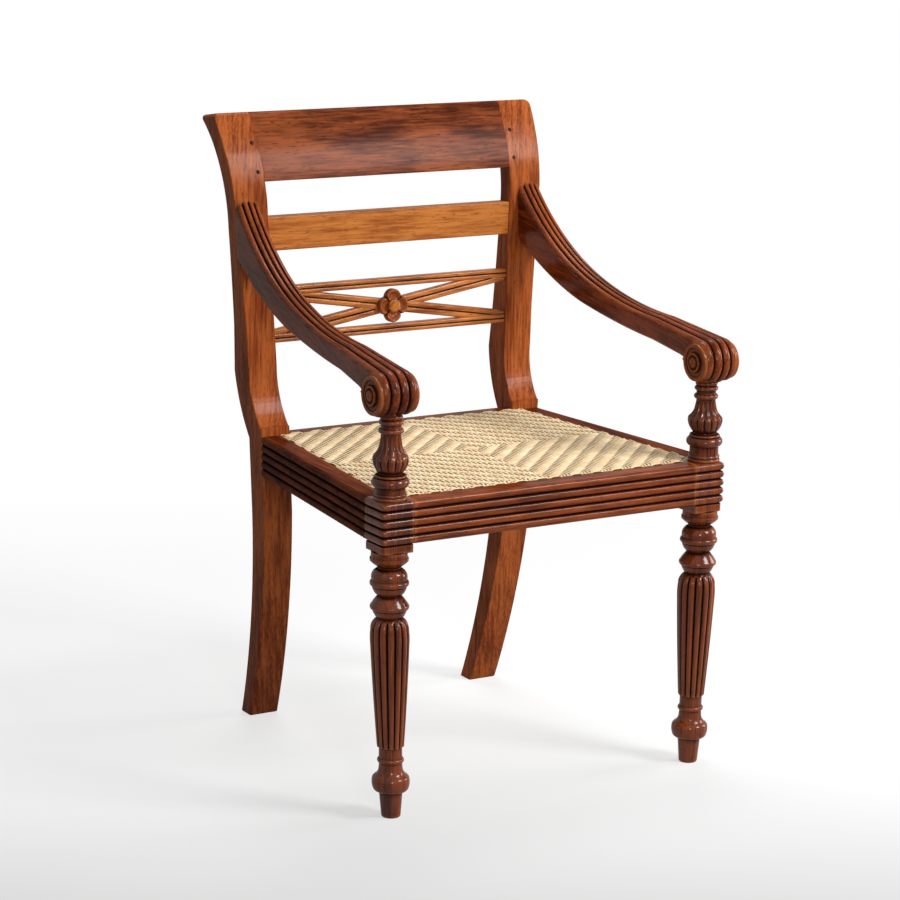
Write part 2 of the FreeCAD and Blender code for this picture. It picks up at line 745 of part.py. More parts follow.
for bar_name, sign, lap_start in (("lattice_bar_rising", 1, BAR_FRONT),
                                  ("lattice_bar_falling", -1, f"({BAR_FRONT} + bar_depth / 2)")):
    bar = lattice_body(bar_name)
    pad(bar, bar_name + "Face", "XZ", BAR_FRONT, f"({BAR_FRONT} + bar_depth)",
        lambda sketch: outline(sketch, bar_outline(sign)))
    cut(bar, bar_name + "Lap", "XZ", lap_start, f"({lap_start} + bar_depth / 2)",
        lambda sketch: outline(sketch, bar_outline(-sign)))

PETAL_TIP = "(petal_offset + petal_radius)"
PETAL_VALLEY = "((petal_offset + sqrt(2 * petal_radius * petal_radius - petal_offset * petal_offset)) / 2)"
rosette = lattice_body("rosette")
pad(rosette, "RosetteFace", "XZ", f"({BAR_FRONT} - rosette_thick)", BAR_FRONT,
    lambda sketch: outline(sketch, [
        (PETAL_VALLEY, f"-{PETAL_VALLEY}", PETAL_TIP, "0"),
        (PETAL_VALLEY, PETAL_VALLEY, "0", PETAL_TIP),
        (f"-{PETAL_VALLEY}", PETAL_VALLEY, f"-{PETAL_TIP}", "0"),
        (f"-{PETAL_VALLEY}", f"-{PETAL_VALLEY}", "0", f"-{PETAL_TIP}"),
    ]))
boss = lattice_body("rosette_boss")
turn(boss, "RosetteBoss", BOSS_OUTLINE_SHARES, "(-rosette_boss_height)", "rosette_boss_radius",
     f"({BAR_FRONT} - rosette_thick)", "XY")


# Front legs: a square block, reeded on its two outer faces, above a turned and reeded leg.
leg = new_body("front_leg_right", LEG_X, f"({LEG_Y} - {MIDDLE_Y})")
HALF_BLOCK = "(block_size / 2)"
INNER_TENON_X = f"({HALF_BLOCK} - rail_tenon_length - fit_clearance)"


def reeded_edge(face, inward):
    """The reeded edge of a block from its bottom to its top: a plain band below the rails and
    the rails' own reeds above it."""
    return ([(f"({face} + ({inward}) * reed_depth)", BLOCK_BOTTOM)]
            + reeds(RAIL_BOTTOM, "seat_height", round(number("reed_count")), face, inward)
            + [(f"({face} + ({inward}) * reed_depth)", "seat_height")])


pad(leg, "BlockFront", "YZ", f"-{HALF_BLOCK}", HALF_BLOCK,
    lambda sketch: outline(sketch, reeded_edge(f"(-{HALF_BLOCK})", "1")
                           + [(HALF_BLOCK, "seat_height"), (HALF_BLOCK, BLOCK_BOTTOM)]))
trim(leg, "BlockSide", "XZ", f"-{HALF_BLOCK}", HALF_BLOCK,
     reeded_edge(HALF_BLOCK, "-1") + [(f"-{HALF_BLOCK}", "seat_height"),
                                      (f"-{HALF_BLOCK}", BLOCK_BOTTOM)], "(seat_height + overrun)")
cut(leg, "SeatNotch", "XY", SLAT_BOTTOM, "(seat_height + overrun)",
    lambda sketch: rectangle(sketch, f"(-{HALF_BLOCK} - overrun)", f"(rail_thick - {HALF_BLOCK})",
                             f"({HALF_BLOCK} - rail_thick)", f"({HALF_BLOCK} + overrun)"))
cut(leg, "FrontMortise", "YZ", f"(-{HALF_BLOCK} - overrun)",
    f"(rail_tenon_length + fit_clearance - {HALF_BLOCK})",
    lambda sketch: rectangle(sketch, f"((rail_thick - rail_tenon_thick) / 2 - {HALF_BLOCK})",
                             TENON_BOTTOM,
                             f"((rail_thick + rail_tenon_thick) / 2 - {HALF_BLOCK})", TENON_TOP))
slant(cut(leg, "SideMortise", "XZ", INNER_TENON_X, HALF_BLOCK,
          lambda sketch: side_tenon(sketch, "(block_size - rail_tenon_length - fit_clearance)",
                                    LEG_X)), f"-{SIDE_SLOPE}", "1")
cut(leg, "SupportMortise", "XY", "(seat_height - support_tenon_length - fit_clearance)",
    "(seat_height + overrun)",
    lambda sketch: circle(sketch, "0", "0", "(support_tenon_radius + fit_clearance)"))
turn(leg, "Leg", LEG_OUTLINE_SHARES, BLOCK_BOTTOM, "leg_radius")


def groove_section(body, name, height_share, radius_share):
    """One section of a V groove on the turned leg."""
    sketch = sketch_on(body, name, "XY", f"({BLOCK_BOTTOM} * {height_share})")
    surface = f"(leg_radius * {radius_share})"
    outline(sketch, [
        ("0", f"({surface} - leg_groove_depth)"),
        ("leg_groove_width", f"({surface} + leg_groove_depth)"),
        ("-leg_groove_width", f"({surface} + leg_groove_depth)"),
    ])
    sketch.Visibility = False
    return sketch


groove_low = groove_section(leg, "GrooveLow", GROOVE_LOW_SHARE, GROOVE_LOW_RADIUS_SHARE)
groove_high = groove_section(leg, "GrooveHigh", GROOVE_HIGH_SHARE, GROOVE_HIGH_RADIUS_SHARE)
groove_top = groove_section(leg, "GrooveTop", GROOVE_TOP_SHARE, GROOVE_TOP_RADIUS_SHARE)
groove = leg.newObject("PartDesign::SubtractiveLoft", "Groove")
groove.Profile = groove_low
groove.Sections = [groove_high, groove_top]
groove.Ruled = True
around = leg.newObject("PartDesign::PolarPattern", "GroovesAround")
around.Originals = [groove]
around.Axis = (next(item for item in leg.Origin.OriginFeatures if item.Role == "Z_Axis"), [""])
around.Angle = 360
around.setExpression("Occurrences", bind("leg_reed_count"))
leg.Tip = around
both_sides("front_leg", leg)


# Places at the corners of the seat, under the woven frame.
BRACE_BOTTOM = f"({SLAT_BOTTOM} - corner_block_height)"
BRACE_MIDDLE = f"({SLAT_BOTTOM} - corner_block_height / 2)"
REAR_X = side_x("seat_depth", "rail_thick")
LEG_INNER_X = f"({FRONT_HALF} - block_size)"
FRONT_SEAT_SCREW = (f"({LEG_INNER_X} - seat_screw_front_place)", "block_size")
REAR_SEAT_SCREW = (f"({REAR_X} - seat_screw_rear_place)", "(seat_depth - seat_screw_rear_place)")
SCREW_HOLE = "(screw_radius + fit_clearance)"
HEAD_HOLE = "(screw_head_radius + fit_clearance)"
FRONT_RAIL_SCREW_X = f"({LEG_INNER_X} - block_screw_place)"
REAR_RAIL_SCREW_X = f"({REAR_X} - block_screw_place)"
SIDE_SCREWS = {"Front": "(block_size + block_screw_place)", "Rear": "(seat_depth - block_screw_place)"}


# Front and side seat rails, reeded on their outer faces.
front_rail = new_body("front_seat_rail")
FRONT_REACH = f"({FRONT_HALF} - block_size)"
pad(front_rail, "FrontRailSection", "YZ", f"-{FRONT_REACH}", FRONT_REACH,
    lambda sketch: outline(sketch, reeds(RAIL_BOTTOM, "seat_height", round(number("reed_count")),
                                         "0", "1")
                           + [("reed_depth", "seat_height"), ("rail_thick", "seat_height"),
                              ("rail_thick", RAIL_BOTTOM)]))
pad(front_rail, "FrontRailTenon", "YZ", f"(-{FRONT_REACH} - rail_tenon_length)",
    f"({FRONT_REACH} + rail_tenon_length)",
    lambda sketch: rectangle(sketch, "((rail_thick - rail_tenon_thick) / 2)", TENON_BOTTOM,
                             "((rail_thick + rail_tenon_thick) / 2)", TENON_TOP))
for side_name, side in (("Right", ""), ("Left", "-")):
    cut(front_rail, "FrontPilot" + side_name, "XZ", "(rail_thick - block_screw_bite - fit_clearance)",
        "(rail_thick + overrun)",
        lambda sketch: circle(sketch, side + FRONT_RAIL_SCREW_X, BRACE_MIDDLE, SCREW_HOLE))
pieces["front_seat_rail"] = front_rail
for side_name, side in (("Right", ""), ("Left", "-")):
    cut(rear_rail, "RearPilot" + side_name, "XZ", "0",
        "(seat_depth + block_screw_bite + fit_clearance)",
        lambda sketch: circle(sketch, side + REAR_RAIL_SCREW_X, BRACE_MIDDLE, SCREW_HOLE))

side_rail = new_body("side_rail_right")
slant(pad(side_rail, "SideRailSection", "XZ", "block_size", "seat_depth",
          lambda sketch: outline(sketch,
                                 reeds(RAIL_BOTTOM, "seat_height", round(number("reed_count")),
                                       FRONT_HALF, "-1")
                                 + [(f"({FRONT_HALF} - reed_depth)", "seat_height"),
                                    (side_x("block_size", "rail_thick"), "seat_height"),
                                    (side_x("block_size", "rail_thick"), RAIL_BOTTOM)])),
      f"-{SIDE_SLOPE}", "1")
slant(pad(side_rail, "SideRailTenon", "XZ", "(block_size - rail_tenon_length)",
          "(seat_depth + rail_tenon_length)",
          lambda sketch: side_tenon(sketch, "(block_size - rail_tenon_length)")),
      f"-{SIDE_SLOPE}", "1")
for screw_name, setback in SIDE_SCREWS.items():
    cut(side_rail, "SidePilot" + screw_name, "YZ", "0",
        f"({side_x(setback, 'rail_thick')} + block_screw_bite + fit_clearance)",
        lambda sketch: circle(sketch, setback, BRACE_MIDDLE, SCREW_HOLE))
both_sides("side_rail", side_rail)


# Arm supports: turned, with a round tenon at each end.
SUPPORT_HEIGHT = "(scroll_height - scroll_flat_drop - seat_height)"
support = new_body("arm_support_right", LEG_X, f"({LEG_Y} - {MIDDLE_Y})", "seat_height")
turn(support, "Support", SUPPORT_OUTLINE_SHARES, SUPPORT_HEIGHT, "support_radius")
pad(support, "SupportTenons", "XY", "-support_tenon_length",
    f"({SUPPORT_HEIGHT} + support_tenon_length)",
    lambda sketch: circle(sketch, "0", "0", "support_tenon_radius"))
both_sides("arm_support", support)

# Arms: swept down from the post and rolled into a scroll over the support.
ARM_TOP_REAR = (post_front("arm_top_height"), "arm_top_height")
ARM_TOP_ELBOW = ("arm_elbow_setback", "arm_elbow_height")
ARM_TOP_REST = ("arm_rest_setback", "arm_rest_height")
ARM_LOW_REST = ("arm_rest_setback", "(arm_rest_height - arm_thick)")
ARM_LOW_ELBOW = (f"(arm_elbow_setback + arm_thick * {ELBOW_SHIFT_SHARE})",
                 "(arm_elbow_height - arm_elbow_thick)")
ARM_LOW_REAR = (post_front("arm_bottom_height"), "arm_bottom_height")
FLAT_HALF = "sqrt(scroll_radius * scroll_radius - scroll_flat_drop * scroll_flat_drop)"
FLAT_HEIGHT = "(scroll_height - scroll_flat_drop)"
SCROLL_BACK = ("(scroll_setback + scroll_radius)", "scroll_height")
SCROLL_DIAGONAL = f"(scroll_radius * {DIAGONAL_SHARE})"

arm = new_body("arm_right")
pad(arm, "ArmSide", "YZ", f"({ARM_FRONT_X} - overrun)", f"({ARM_FRONT_X} + overrun)",
    lambda sketch: outline(sketch, [
        ARM_TOP_REAR + bend(ARM_TOP_REAR, ARM_TOP_ELBOW, ARM_HIGH_BEND_SHARE),
        ARM_TOP_ELBOW + bend(ARM_TOP_ELBOW, ARM_TOP_REST, ARM_LOW_BEND_SHARE),
        ARM_TOP_REST,
        ("scroll_setback", "(scroll_height + scroll_radius)", SCROLL_FRONT, "scroll_height"),
        (f"(scroll_setback - {FLAT_HALF})", FLAT_HEIGHT),
        (f"(scroll_setback + {FLAT_HALF})", FLAT_HEIGHT,
         f"(scroll_setback + {SCROLL_DIAGONAL})", f"(scroll_height - {SCROLL_DIAGONAL})"),
        SCROLL_BACK,
        ARM_LOW_REST + bend(ARM_LOW_REST, ARM_LOW_ELBOW, UNDER_REST_BEND_SHARE),
        ARM_LOW_ELBOW + bend(ARM_LOW_REAR, ARM_LOW_ELBOW, UNDER_ELBOW_BEND_SHARE),
        ARM_LOW_REAR,
    ]))


def arm_plan():
    """The arm seen from above: a slender arm that flares to the width of the scroll."""
    corners = []
    for sign in ("+", "-"):
        way = "((arm_flare_start - scroll_setback) / (seat_depth - scroll_setback))"
        edge = [
            (f"({ARM_BACK_X} {sign} arm_back_width / 2)", from_post("top_setback")),
            (f"({ARM_BACK_X} {sign} arm_back_width / 2)", from_post("knee_setback")),
            (f"({between(ARM_FRONT_X, ARM_BACK_X, way)} {sign} arm_back_width / 2)", "arm_flare_start"),
            (f"({ARM_FRONT_X} {sign} arm_front_width / 2)", "arm_flare_end"),
            (f"({ARM_FRONT_X} {sign} arm_front_width / 2)", f"({SCROLL_FRONT} - arm_front_width)"),
        ]
        corners += edge if sign == "+" else edge[::-1]
    return corners


trim(arm, "ArmPlan", "XY", "seat_height", "(back_height + overrun)", arm_plan(),
     "(seat_depth + top_setback + overrun)")
pad(arm, "ScrollBosses", "YZ", f"({ARM_FRONT_X} - arm_front_width / 2 - scroll_boss_height)",
    f"({ARM_FRONT_X} + arm_front_width / 2 + scroll_boss_height)",
    lambda sketch: circle(sketch, "scroll_setback", "scroll_height", "scroll_boss_radius"))
cut(arm, "SupportSocket", "XY", f"({FLAT_HEIGHT} - overrun)",
    f"({FLAT_HEIGHT} + support_tenon_length + fit_clearance)",
    lambda sketch: circle(sketch, LEG_X, LEG_Y, "(support_tenon_radius + fit_clearance)"))
cut(arm, "ArmPilotHole", "XZ",
    f"({post_front('arm_screw_height')} - arm_screw_bite - fit_clearance)", from_post("top_setback"),
    lambda sketch: circle(sketch, ARM_BACK_X, "arm_screw_height", "(screw_radius + fit_clearance)"))
both_sides("arm", arm)


# Drop-in seat: a half-lapped frame with the woven rattan on top of it.
SEAT_INSET = "(rail_thick + seat_clearance)"
SLAT_INSET = "(rail_thick + seat_clearance + slat_setback)"
SLAT_INNER = "(rail_thick + seat_clearance + slat_setback + slat_width)"
SLAT_FRONT = SLAT_INSET
SLAT_REAR = "(seat_depth - seat_clearance - slat_setback)"
SLAT_MIDDLE = "(seat_height - weave_thick - slat_thick / 2)"


def seat_edge(inset, low, high):
    """Right edge of a seat piece: straight beside the leg block, then along the side rail."""
    return [(side_x("block_size", inset), low), (side_x("block_size", inset), "block_size"),
            (side_x(high, inset), high)]


def doubled(edge):
    """Close an outline that is the same on both sides of the chair's middle."""
    return edge + [(f"-({x})", y) for x, y in edge[::-1]]


weave = new_body("woven_seat")
pad(weave, "WeavePlan", "XY", SLAT_TOP, "seat_height",
    lambda sketch: outline(sketch, doubled(seat_edge(SEAT_INSET, SEAT_INSET,
                                                     "(seat_depth - seat_clearance)"))))
pieces["woven_seat"] = weave

side_slat = new_body("seat_slat_right")
pad(side_slat, "SideSlatPlan", "XY", SLAT_BOTTOM, SLAT_TOP,
    lambda sketch: outline(sketch, seat_edge(SLAT_INSET, SLAT_FRONT, SLAT_REAR)
                           + seat_edge(SLAT_INNER, SLAT_FRONT, SLAT_REAR)[::-1]))
for lap_name, lap_low, lap_high in (
        ("FrontLap", "0", f"({SLAT_FRONT} + slat_width)"),
        ("RearLap", f"({SLAT_REAR} - slat_width)", "(seat_depth + overrun)")):
    cut(side_slat, "SideSlat" + lap_name, "XY", SLAT_MIDDLE, "(seat_height + overrun)",
        lambda sketch: rectangle(sketch, "0", lap_low, "front_width", lap_high))
for screw_name, place in (("Front", FRONT_SEAT_SCREW), ("Rear", REAR_SEAT_SCREW)):
    cut(side_slat, "SideSlatHole" + screw_name, "XY", "0", SLAT_MIDDLE,
        lambda sketch: circle(sketch, place[0], place[1], SCREW_HOLE))
both_sides("seat_slat", side_slat)

for slat_name, slat_low, slat_high, place in (
        ("seat_slat_front", SLAT_FRONT, f"({SLAT_FRONT} + slat_width)", FRONT_SEAT_SCREW),
        ("seat_slat_rear", f"({SLAT_REAR} - slat_width)", SLAT_REAR, REAR_SEAT_SCREW)):
    slat = new_body(slat_name)
    if slat_name == "seat_slat_front":
        slat_edge = seat_edge(SLAT_INSET, slat_low, slat_high)
    else:
        slat_edge = [(side_x(slat_low, SLAT_INSET), slat_low), (side_x(slat_high, SLAT_INSET), slat_high)]
    pad(slat, slat_name + "Plan", "XY", SLAT_BOTTOM, SLAT_TOP,
        lambda sketch: outline(sketch, doubled(slat_edge)))
    lap_edge = seat_edge(SLAT_INNER, "0", "(seat_depth + overrun)")
    for lap_name, side in (("RightLap", ""), ("LeftLap", "-")):
        lap = [(f"{side}({x})", y) for x, y in lap_edge]
        lap += [(f"{side}(front_width)", "(seat_depth + overrun)"), (f"{side}(front_width)", "0")]
        cut(slat, slat_name + lap_name, "XY", f"({SLAT_BOTTOM} - overrun)", SLAT_MIDDLE,
            lambda sketch: outline(sketch, lap))
        cut(slat, slat_name + lap_name + "Hole", "XY", f"({SLAT_BOTTOM} - overrun)",
            f"({SLAT_BOTTOM} + seat_screw_bite + fit_clearance)",
            lambda sketch: circle(sketch, side + place[0], place[1], SCREW_HOLE))
    pieces[slat_name] = slat


# Corner blocks: screwed into the rails from inside, under the corners of the seat frame.
FRONT_BLOCK = [
    (LEG_INNER_X, "rail_thick"),
    (LEG_INNER_X, "block_size"),
    (side_x("block_size", "rail_thick"), "block_size"),
    (side_x("(block_size + corner_block_reach)", "rail_thick"), "(block_size + corner_block_reach)"),
    (f"({LEG_INNER_X} - corner_block_reach)", "rail_thick"),
]
REAR_BLOCK = [
    (REAR_X, "seat_depth"),
    (f"({REAR_X} - corner_block_reach)", "seat_depth"),
    (side_x("(seat_depth - corner_block_reach)", "rail_thick"), "(seat_depth - corner_block_reach)"),
]
FRONT_HEAD_Y = "(rail_thick + block_screw_grip)"
REAR_HEAD_Y = "(seat_depth - block_screw_grip)"

for brace_name, plan, place, rail_screw_x, rail_screw, rail_head in (
        ("Front", FRONT_BLOCK, FRONT_SEAT_SCREW, FRONT_RAIL_SCREW_X, ("0", "seat_depth"),
         (FRONT_HEAD_Y, "seat_depth")),
        ("Rear", REAR_BLOCK, REAR_SEAT_SCREW, REAR_RAIL_SCREW_X, ("0", "(seat_depth + overrun)"),
         ("0", REAR_HEAD_Y))):
    brace = new_body(f"corner_block_{brace_name.lower()}_right")
    setback = SIDE_SCREWS[brace_name]
    pad(brace, brace_name + "Block", "XY", BRACE_BOTTOM, SLAT_BOTTOM,
        lambda sketch: outline(sketch, plan))
    for hole_name, hole_radius, hole_span in (("Screw", SCREW_HOLE, rail_screw),
                                              ("Head", HEAD_HOLE, rail_head)):
        cut(brace, brace_name + "Rail" + hole_name, "XZ", hole_span[0], hole_span[1],
            lambda sketch: circle(sketch, rail_screw_x, BRACE_MIDDLE, hole_radius))
    for hole_name, hole_radius, hole_end in (
            ("Screw", SCREW_HOLE, "front_width"),
            ("Head", HEAD_HOLE, f"({side_x(setback, 'rail_thick')} - block_screw_grip)")):
        cut(brace, brace_name + "Side" + hole_name, "YZ", "0", hole_end,
            lambda sketch: circle(sketch, setback, BRACE_MIDDLE, hole_radius))
    for hole_name, hole_radius, hole_end in (
            ("Screw", SCREW_HOLE, "seat_height"),
            ("Head", HEAD_HOLE, f"({BRACE_BOTTOM} + seat_screw_recess)")):
        cut(brace, brace_name + "Seat" + hole_name, "XY", "0", hole_end,
            lambda sketch: circle(sketch, place[0], place[1], hole_radius))
    both_sides(f"corner_block_{brace_name.lower()}", brace)


# Screws, plugs and pegs.
def rod(label, start, axis, radius, length):
    """A round bar from a start along one of the six axis directions."""
    bar = document.addObject("Part::Cylinder", label)
    bar.setExpression("Radius", bind(radius))
    bar.setExpression("Height", bind(length))
    bar.Placement = Placement(Vector(), Rotation(Vector(0, 0, 1), Vector(*axis)))
    for name, text in zip("xyz", (start[0], f"({start[1]} - {MIDDLE_Y})", start[2])):
        bar.setExpression(f"Placement.Base.{name}", bind(text))
    return bar


def step_back(place, axis, length):
    """The place that lies a length behind another one, seen along an axis."""
    return [f"({text} - ({step}) * {length})" for text, step in zip(place, axis)]


def screw(label, seat, axis, length):
    """A screw whose head rests on a seat and whose shank runs along an axis."""
    fused = document.addObject("Part::Fuse", label)
    fused.Base = rod(label + "Head", step_back(seat, axis, "screw_head_height"), axis,
                     "screw_head_radius", "screw_head_height")
    fused.Tool = rod(label + "Shank", seat, axis, "screw_radius", length)
    return fused


def group(label, right_items):
    """Gather the fasteners of the right side and their left twins in one piece."""
    right = document.addObject("Part::Compound", label + "Right")
    right.Links = right_items
    left = document.addObject("Part::Mirroring", label + "Left")
    left.Source = right
    left.Normal = Vector(1, 0, 0)
    both = document.addObject("Part::Compound", label)
    both.Links = [right, left]
    both.Label = label
    pieces[label] = both


BLOCK_SCREW = "(block_screw_grip + block_screw_bite)"
block_screws = [
    screw("FrontRailScrew", (FRONT_RAIL_SCREW_X, FRONT_HEAD_Y, BRACE_MIDDLE), (0, -1, 0), BLOCK_SCREW),
    screw("RearRailScrew", (REAR_RAIL_SCREW_X, REAR_HEAD_Y, BRACE_MIDDLE), (0, 1, 0), BLOCK_SCREW),
]
for screw_name, setback in SIDE_SCREWS.items():
    head_seat = (f"({side_x(setback, 'rail_thick')} - block_screw_grip)", setback, BRACE_MIDDLE)
    block_screws.append(screw("SideRailScrew" + screw_name, head_seat, (1, 0, 0), BLOCK_SCREW))
group("corner_block_screws", block_screws)

group("seat_frame_screws", [
    screw(f"SeatScrew{index}", (place[0], place[1], f"({BRACE_BOTTOM} + seat_screw_recess)"),
          (0, 0, 1), "(corner_block_height - seat_screw_recess + seat_screw_bite)")
    for index, place in enumerate((FRONT_SEAT_SCREW, REAR_SEAT_SCREW))])

PLUG_START = from_post("waist_back_setback - plug_length")
group("arm_screws", [
    screw("ArmScrew", (ARM_BACK_X, f"({PLUG_START} - screw_head_height)", "arm_screw_height"),
          (0, -1, 0),
          f"({PLUG_START} - screw_head_height - {post_front('arm_screw_height')} + arm_screw_bite)")])
group("arm_screw_plugs", [
    rod("ArmScrewPlug", (ARM_BACK_X, PLUG_START, "arm_screw_height"), (0, 1, 0), "plug_radius",
        "plug_length")])

crest_blank = new_body("crest_blank")
pad(crest_blank, "CrestBlank", "YZ", "0", "front_width", draw_crest)
pegs = []
for peg_number, peg_height in enumerate(PEG_HEIGHTS):
    start = (f"({inner_half(peg_height)} + peg_edge)",
             f"({crest_front(peg_height)} - peg_radius)", peg_height)
    peg = document.addObject("Part::Common", f"CrestPeg{peg_number}")
    peg.Base = rod(f"CrestPegRod{peg_number}", start, (0, 1, 0), "peg_radius",
                   "(peg_length + peg_radius)")
    peg.Tool = crest_blank
    pegs.append(peg)
group("crest_pegs", pegs)

document.recompute()

# Every object must be sound before the pieces are written.
problems = []
for item in document.Objects:
    if {"Invalid", "Error"} & set(item.State):
        problems.append(f"{item.Label}: {item.State}")
    elif hasattr(item, "Shape") and not item.isDerivedFrom("App::OriginFeature"):
        if item.Shape.isNull() or not item.Shape.isValid():
            problems.append(f"{item.Label}: shape not valid")
for label, piece in pieces.items():
    if not piece.Shape.Solids or piece.Shape.Volume <= 0:
        problems.append(f"{label}: no solid")
    elif piece.isDerivedFrom("PartDesign::Body") and len(piece.Shape.Solids) != 1:
        problems.append(f"{label}: {len(piece.Shape.Solids)} solids")
if problems:
    raise RuntimeError("Unsound objects: " + "; ".join(problems))

os.makedirs("parts", exist_ok=True)
for label, piece in pieces.items():
    piece.Shape.exportStep(f"parts/{label}.step")
print(len(pieces), "pieces written")
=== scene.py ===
# %% [markdown]
# An open armchair in varnished teak, with a seat of woven rattan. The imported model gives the
# frame: every piece already has its place and size there. This script dresses it. Each piece that
# shows carving, reeds, turned work or weaving gets a finer mesh in the same place, and what is
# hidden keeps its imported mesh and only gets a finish.

# %% Load the frame
import math

import bpy
from mathutils import Matrix, Vector


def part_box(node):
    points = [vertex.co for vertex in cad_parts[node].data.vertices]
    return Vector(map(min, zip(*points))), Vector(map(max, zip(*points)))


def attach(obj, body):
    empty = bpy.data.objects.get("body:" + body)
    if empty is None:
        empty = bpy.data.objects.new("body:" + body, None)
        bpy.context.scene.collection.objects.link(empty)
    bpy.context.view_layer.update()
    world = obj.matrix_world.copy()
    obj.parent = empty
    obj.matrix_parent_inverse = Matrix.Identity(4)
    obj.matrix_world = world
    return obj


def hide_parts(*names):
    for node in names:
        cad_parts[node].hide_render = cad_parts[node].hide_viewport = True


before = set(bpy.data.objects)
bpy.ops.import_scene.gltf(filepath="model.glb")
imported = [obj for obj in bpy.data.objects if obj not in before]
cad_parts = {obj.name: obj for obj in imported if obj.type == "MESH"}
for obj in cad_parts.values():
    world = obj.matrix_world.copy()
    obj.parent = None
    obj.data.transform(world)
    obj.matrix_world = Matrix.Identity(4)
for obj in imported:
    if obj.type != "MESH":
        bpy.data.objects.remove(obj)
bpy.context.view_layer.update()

# %% [markdown]
# The camera stands high and to the left of the chair, far away, with a long lens, so that lines
# that run backward stay nearly parallel. Its place and its turn were found by fitting the corners
# of the seat, the feet and the back. The small roll belongs to the picture: the chair leans by
# about one degree in it.

# %% Camera
IMAGE_SIZE = 900
SENSOR_WIDTH = 36.0
FOCAL_PIXELS = 2941.0
CAMERA_PLACE = Vector((-2.149, -3.5275, 1.387))
CAMERA_YAW = math.radians(31.25)
CAMERA_PITCH = math.radians(13.01)
CAMERA_ROLL = math.radians(1.20)

camera_data = bpy.data.cameras.new("camera")
camera_data.sensor_width = SENSOR_WIDTH
camera_data.lens = FOCAL_PIXELS * SENSOR_WIDTH / IMAGE_SIZE
camera = bpy.data.objects.new("camera", camera_data)
bpy.context.scene.collection.objects.link(camera)
look = Vector((
    math.sin(CAMERA_YAW) * math.cos(CAMERA_PITCH),
    math.cos(CAMERA_YAW) * math.cos(CAMERA_PITCH),
    -math.sin(CAMERA_PITCH),
))
level_right = Vector((math.cos(CAMERA_YAW), -math.sin(CAMERA_YAW), 0))
level_up = level_right.cross(look)
right = level_right * math.cos(CAMERA_ROLL) + level_up * math.sin(CAMERA_ROLL)
up = level_up * math.cos(CAMERA_ROLL) - level_right * math.sin(CAMERA_ROLL)
camera_turn = Matrix((right, up, -look)).transposed().to_4x4()
camera.matrix_world = Matrix.Translation(CAMERA_PLACE) @ camera_turn
bpy.context.scene.camera = camera
print("lens", round(camera_data.lens, 1), "mm")

# %% [markdown]
# Materials are written as sums. A small class wraps one output socket of a node, and each sign
# (plus, minus, times) adds the node that does it. Colours are blended by a factor, because a
# sum node would turn them grey.

# %% Shader expressions
class Signal:
    """One output of a shader node, usable in Python sums."""

    def __init__(self, nodes, socket):
        self.nodes = nodes
        self.socket = socket

    def _sum(self, operation, first, second):
        return self.nodes.node("ShaderNodeMath", {"operation": operation}, {0: first, 1: second})

    def __add__(self, other):
        return self._sum("ADD", self, other)

    __radd__ = __add__

    def __sub__(self, other):
        return self._sum("SUBTRACT", self, other)

    def __rsub__(self, other):
        return self._sum("SUBTRACT", other, self)

    def __mul__(self, other):
        return self._sum("MULTIPLY", self, other)

    __rmul__ = __mul__

    def larger(self, other):
        """The larger one of two values."""
        return self._sum("MAXIMUM", self, other)

    def between(self, low, high):
        """0 below low, 1 above high, and smooth in between."""
        return self.nodes.node(
            "ShaderNodeMapRange", {"interpolation_type": "SMOOTHSTEP"},
            {"Value": self, "From Min": low, "From Max": high},
        )

    def blend(self, colour_off, colour_on):
        """A colour: colour_off where this value is 0, and colour_on where it is 1."""
        return self.nodes.node(
            "ShaderNodeMix", {"data_type": "RGBA"},
            {"Factor": self, "A": colour_off, "B": colour_on}, "Result",
        )


class Nodes:
    """The nodes of a material or of the world, under construction."""

    def __init__(self, tree):
        self.tree = tree

    def node(self, kind, settings, inputs, output=0):
        """Add a node, set its settings first and then its sockets, and return one output."""
        node = self.tree.nodes.new(kind)
        for name, value in settings.items():
            setattr(node, name, value)
        for name, value in inputs.items():
            self.feed(self._socket(node.inputs, name), value)
        return Signal(self, self._socket(node.outputs, output))

    def along(self, place, axis):
        """How far a place lies along an axis."""
        return self.node(
            "ShaderNodeVectorMath", {"operation": "DOT_PRODUCT"}, {0: place, 1: axis}, "Value",
        )

    def _socket(self, sockets, name):
        if isinstance(name, int):
            return sockets[name]
        return next(socket for socket in sockets if socket.name == name and socket.enabled)

    def feed(self, socket, value):
        """Link a signal to a socket, or set the socket's own value."""
        if isinstance(value, Signal):
            self.tree.links.new(value.socket, socket)
        elif isinstance(value, tuple) and socket.type == "RGBA":
            socket.default_value = (*value, 1.0)
        else:
            socket.default_value = value


